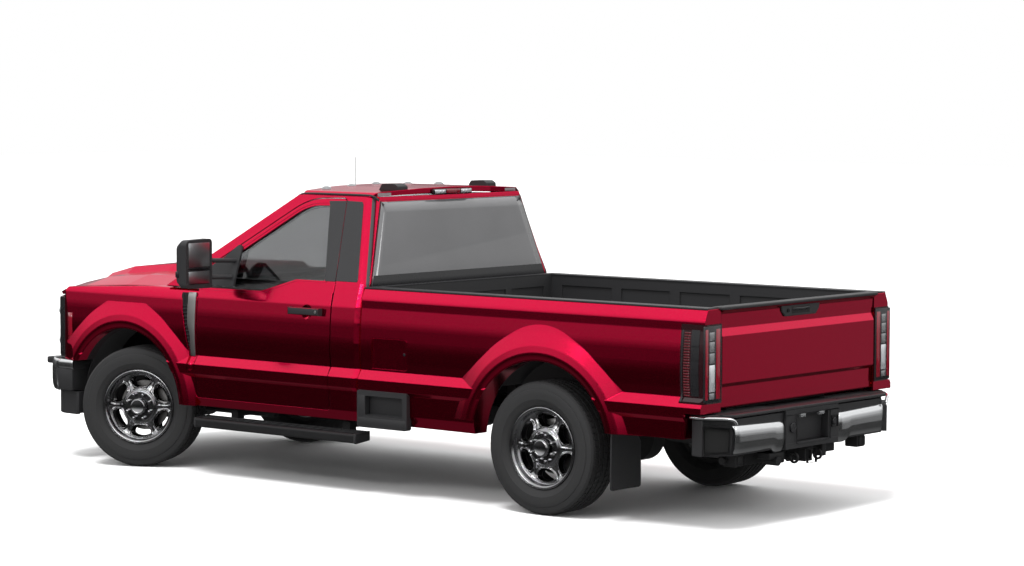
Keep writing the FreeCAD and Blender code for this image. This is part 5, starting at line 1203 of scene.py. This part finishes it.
def studioFloor():
    bmesh.ops.create_grid(mesh, x_segments=1, y_segments=1, size=60.0,
                          matrix=Matrix.Translation((0, 0, -0.0005)))
    data = bpy.data.meshes.new("studioFloor")
    mesh.to_mesh(data)
    mesh.clear()
    floor = bpy.data.objects.new("studioFloor", data)
    bpy.context.scene.collection.objects.link(floor)
    grey = (0.86, 0.86, 0.86, 1)
    data.materials.append(newMaterial("studioFloor", {"Base Color": grey, "Roughness": 0.7})[0])
    floor.visible_glossy = False


def studioAir():
    # seen only in reflections; the camera itself sees white
    world = bpy.data.worlds.new("studioAir")
    bpy.context.scene.world = world
    world.use_nodes = True
    tree = world.node_tree
    place = tree.nodes.new("ShaderNodeTexCoord")
    split = tree.nodes.new("ShaderNodeSeparateXYZ")
    half = tree.nodes.new("ShaderNodeMapRange")
    half.inputs["From Min"].default_value = -1.0
    ramp = tree.nodes.new("ShaderNodeValToRGB")
    steps = ramp.color_ramp.elements
    for position, grey in airLevels:
        step = steps[-1] if position == 1.0 else steps[0] if position == 0.0 else steps.new(position)
        step.color = (grey, grey, grey, 1)
    path = tree.nodes.new("ShaderNodeLightPath")
    shade = tree.nodes.new("ShaderNodeMix")
    shade.data_type = "RGBA"
    shade.inputs["B"].default_value = (1, 1, 1, 1)
    tree.links.new(place.outputs["Generated"], split.inputs["Vector"])
    tree.links.new(split.outputs["Z"], half.inputs["Value"])
    tree.links.new(half.outputs["Result"], ramp.inputs["Fac"])
    tree.links.new(path.outputs["Is Camera Ray"], shade.inputs["Factor"])
    tree.links.new(ramp.outputs["Color"], shade.inputs["A"])
    tree.links.new(shade.outputs["Result"], tree.nodes["Background"].inputs["Color"])


def addLight(name, kind, power, aim, reflected):
    lamp = bpy.data.lights.new(name, kind)
    lamp.energy = power
    holder = bpy.data.objects.new(name, lamp)
    holder.rotation_euler = aim.to_track_quat("-Z", "Y").to_euler()
    holder.visible_glossy = reflected
    bpy.context.scene.collection.objects.link(holder)
    return lamp, holder


def studioLights():
    for name, place, aim, size, power in areaLights:
        lamp, holder = addLight(name, "AREA", power, Vector(aim) - Vector(place), name != "overheadLight")
        lamp.shape = "RECTANGLE"
        lamp.size, lamp.size_y = size
        holder.location = place
    # even light for the whole floor
    lamp, _ = addLight("floorLight", "SUN", 2.6, Vector((0.10, -0.42, -1.0)), False)
    lamp.angle = math.radians(17)


def photoCamera():
    # the viewpoint that the photograph was matched to
    yaw, pitch, roll = math.radians(-50.4518), math.radians(-3.9384), 0.002503
    ahead = Vector((math.cos(yaw) * math.cos(pitch), math.sin(yaw) * math.cos(pitch), math.sin(pitch)))
    right = Vector((math.sin(yaw), -math.cos(yaw), 0))
    up = right.cross(ahead)
    rightTurned = right * math.cos(roll) + up * math.sin(roll)
    upTurned = up * math.cos(roll) - right * math.sin(roll)
    turn = Matrix((rightTurned, upTurned, -ahead)).transposed()
    data = bpy.data.cameras.new("photoCamera")
    data.lens = 108.215
    data.sensor_width = 36.0
    camera = bpy.data.objects.new("photoCamera", data)
    camera.matrix_world = Matrix.Translation((-13.2190, 15.2897, 2.6724)) @ turn.to_4x4()
    bpy.context.scene.collection.objects.link(camera)
    bpy.context.scene.camera = camera


studioFloor()
studioAir()
studioLights()
photoCamera()
bpy.context.scene.view_settings.view_transform = "Standard"
print("studio ready")
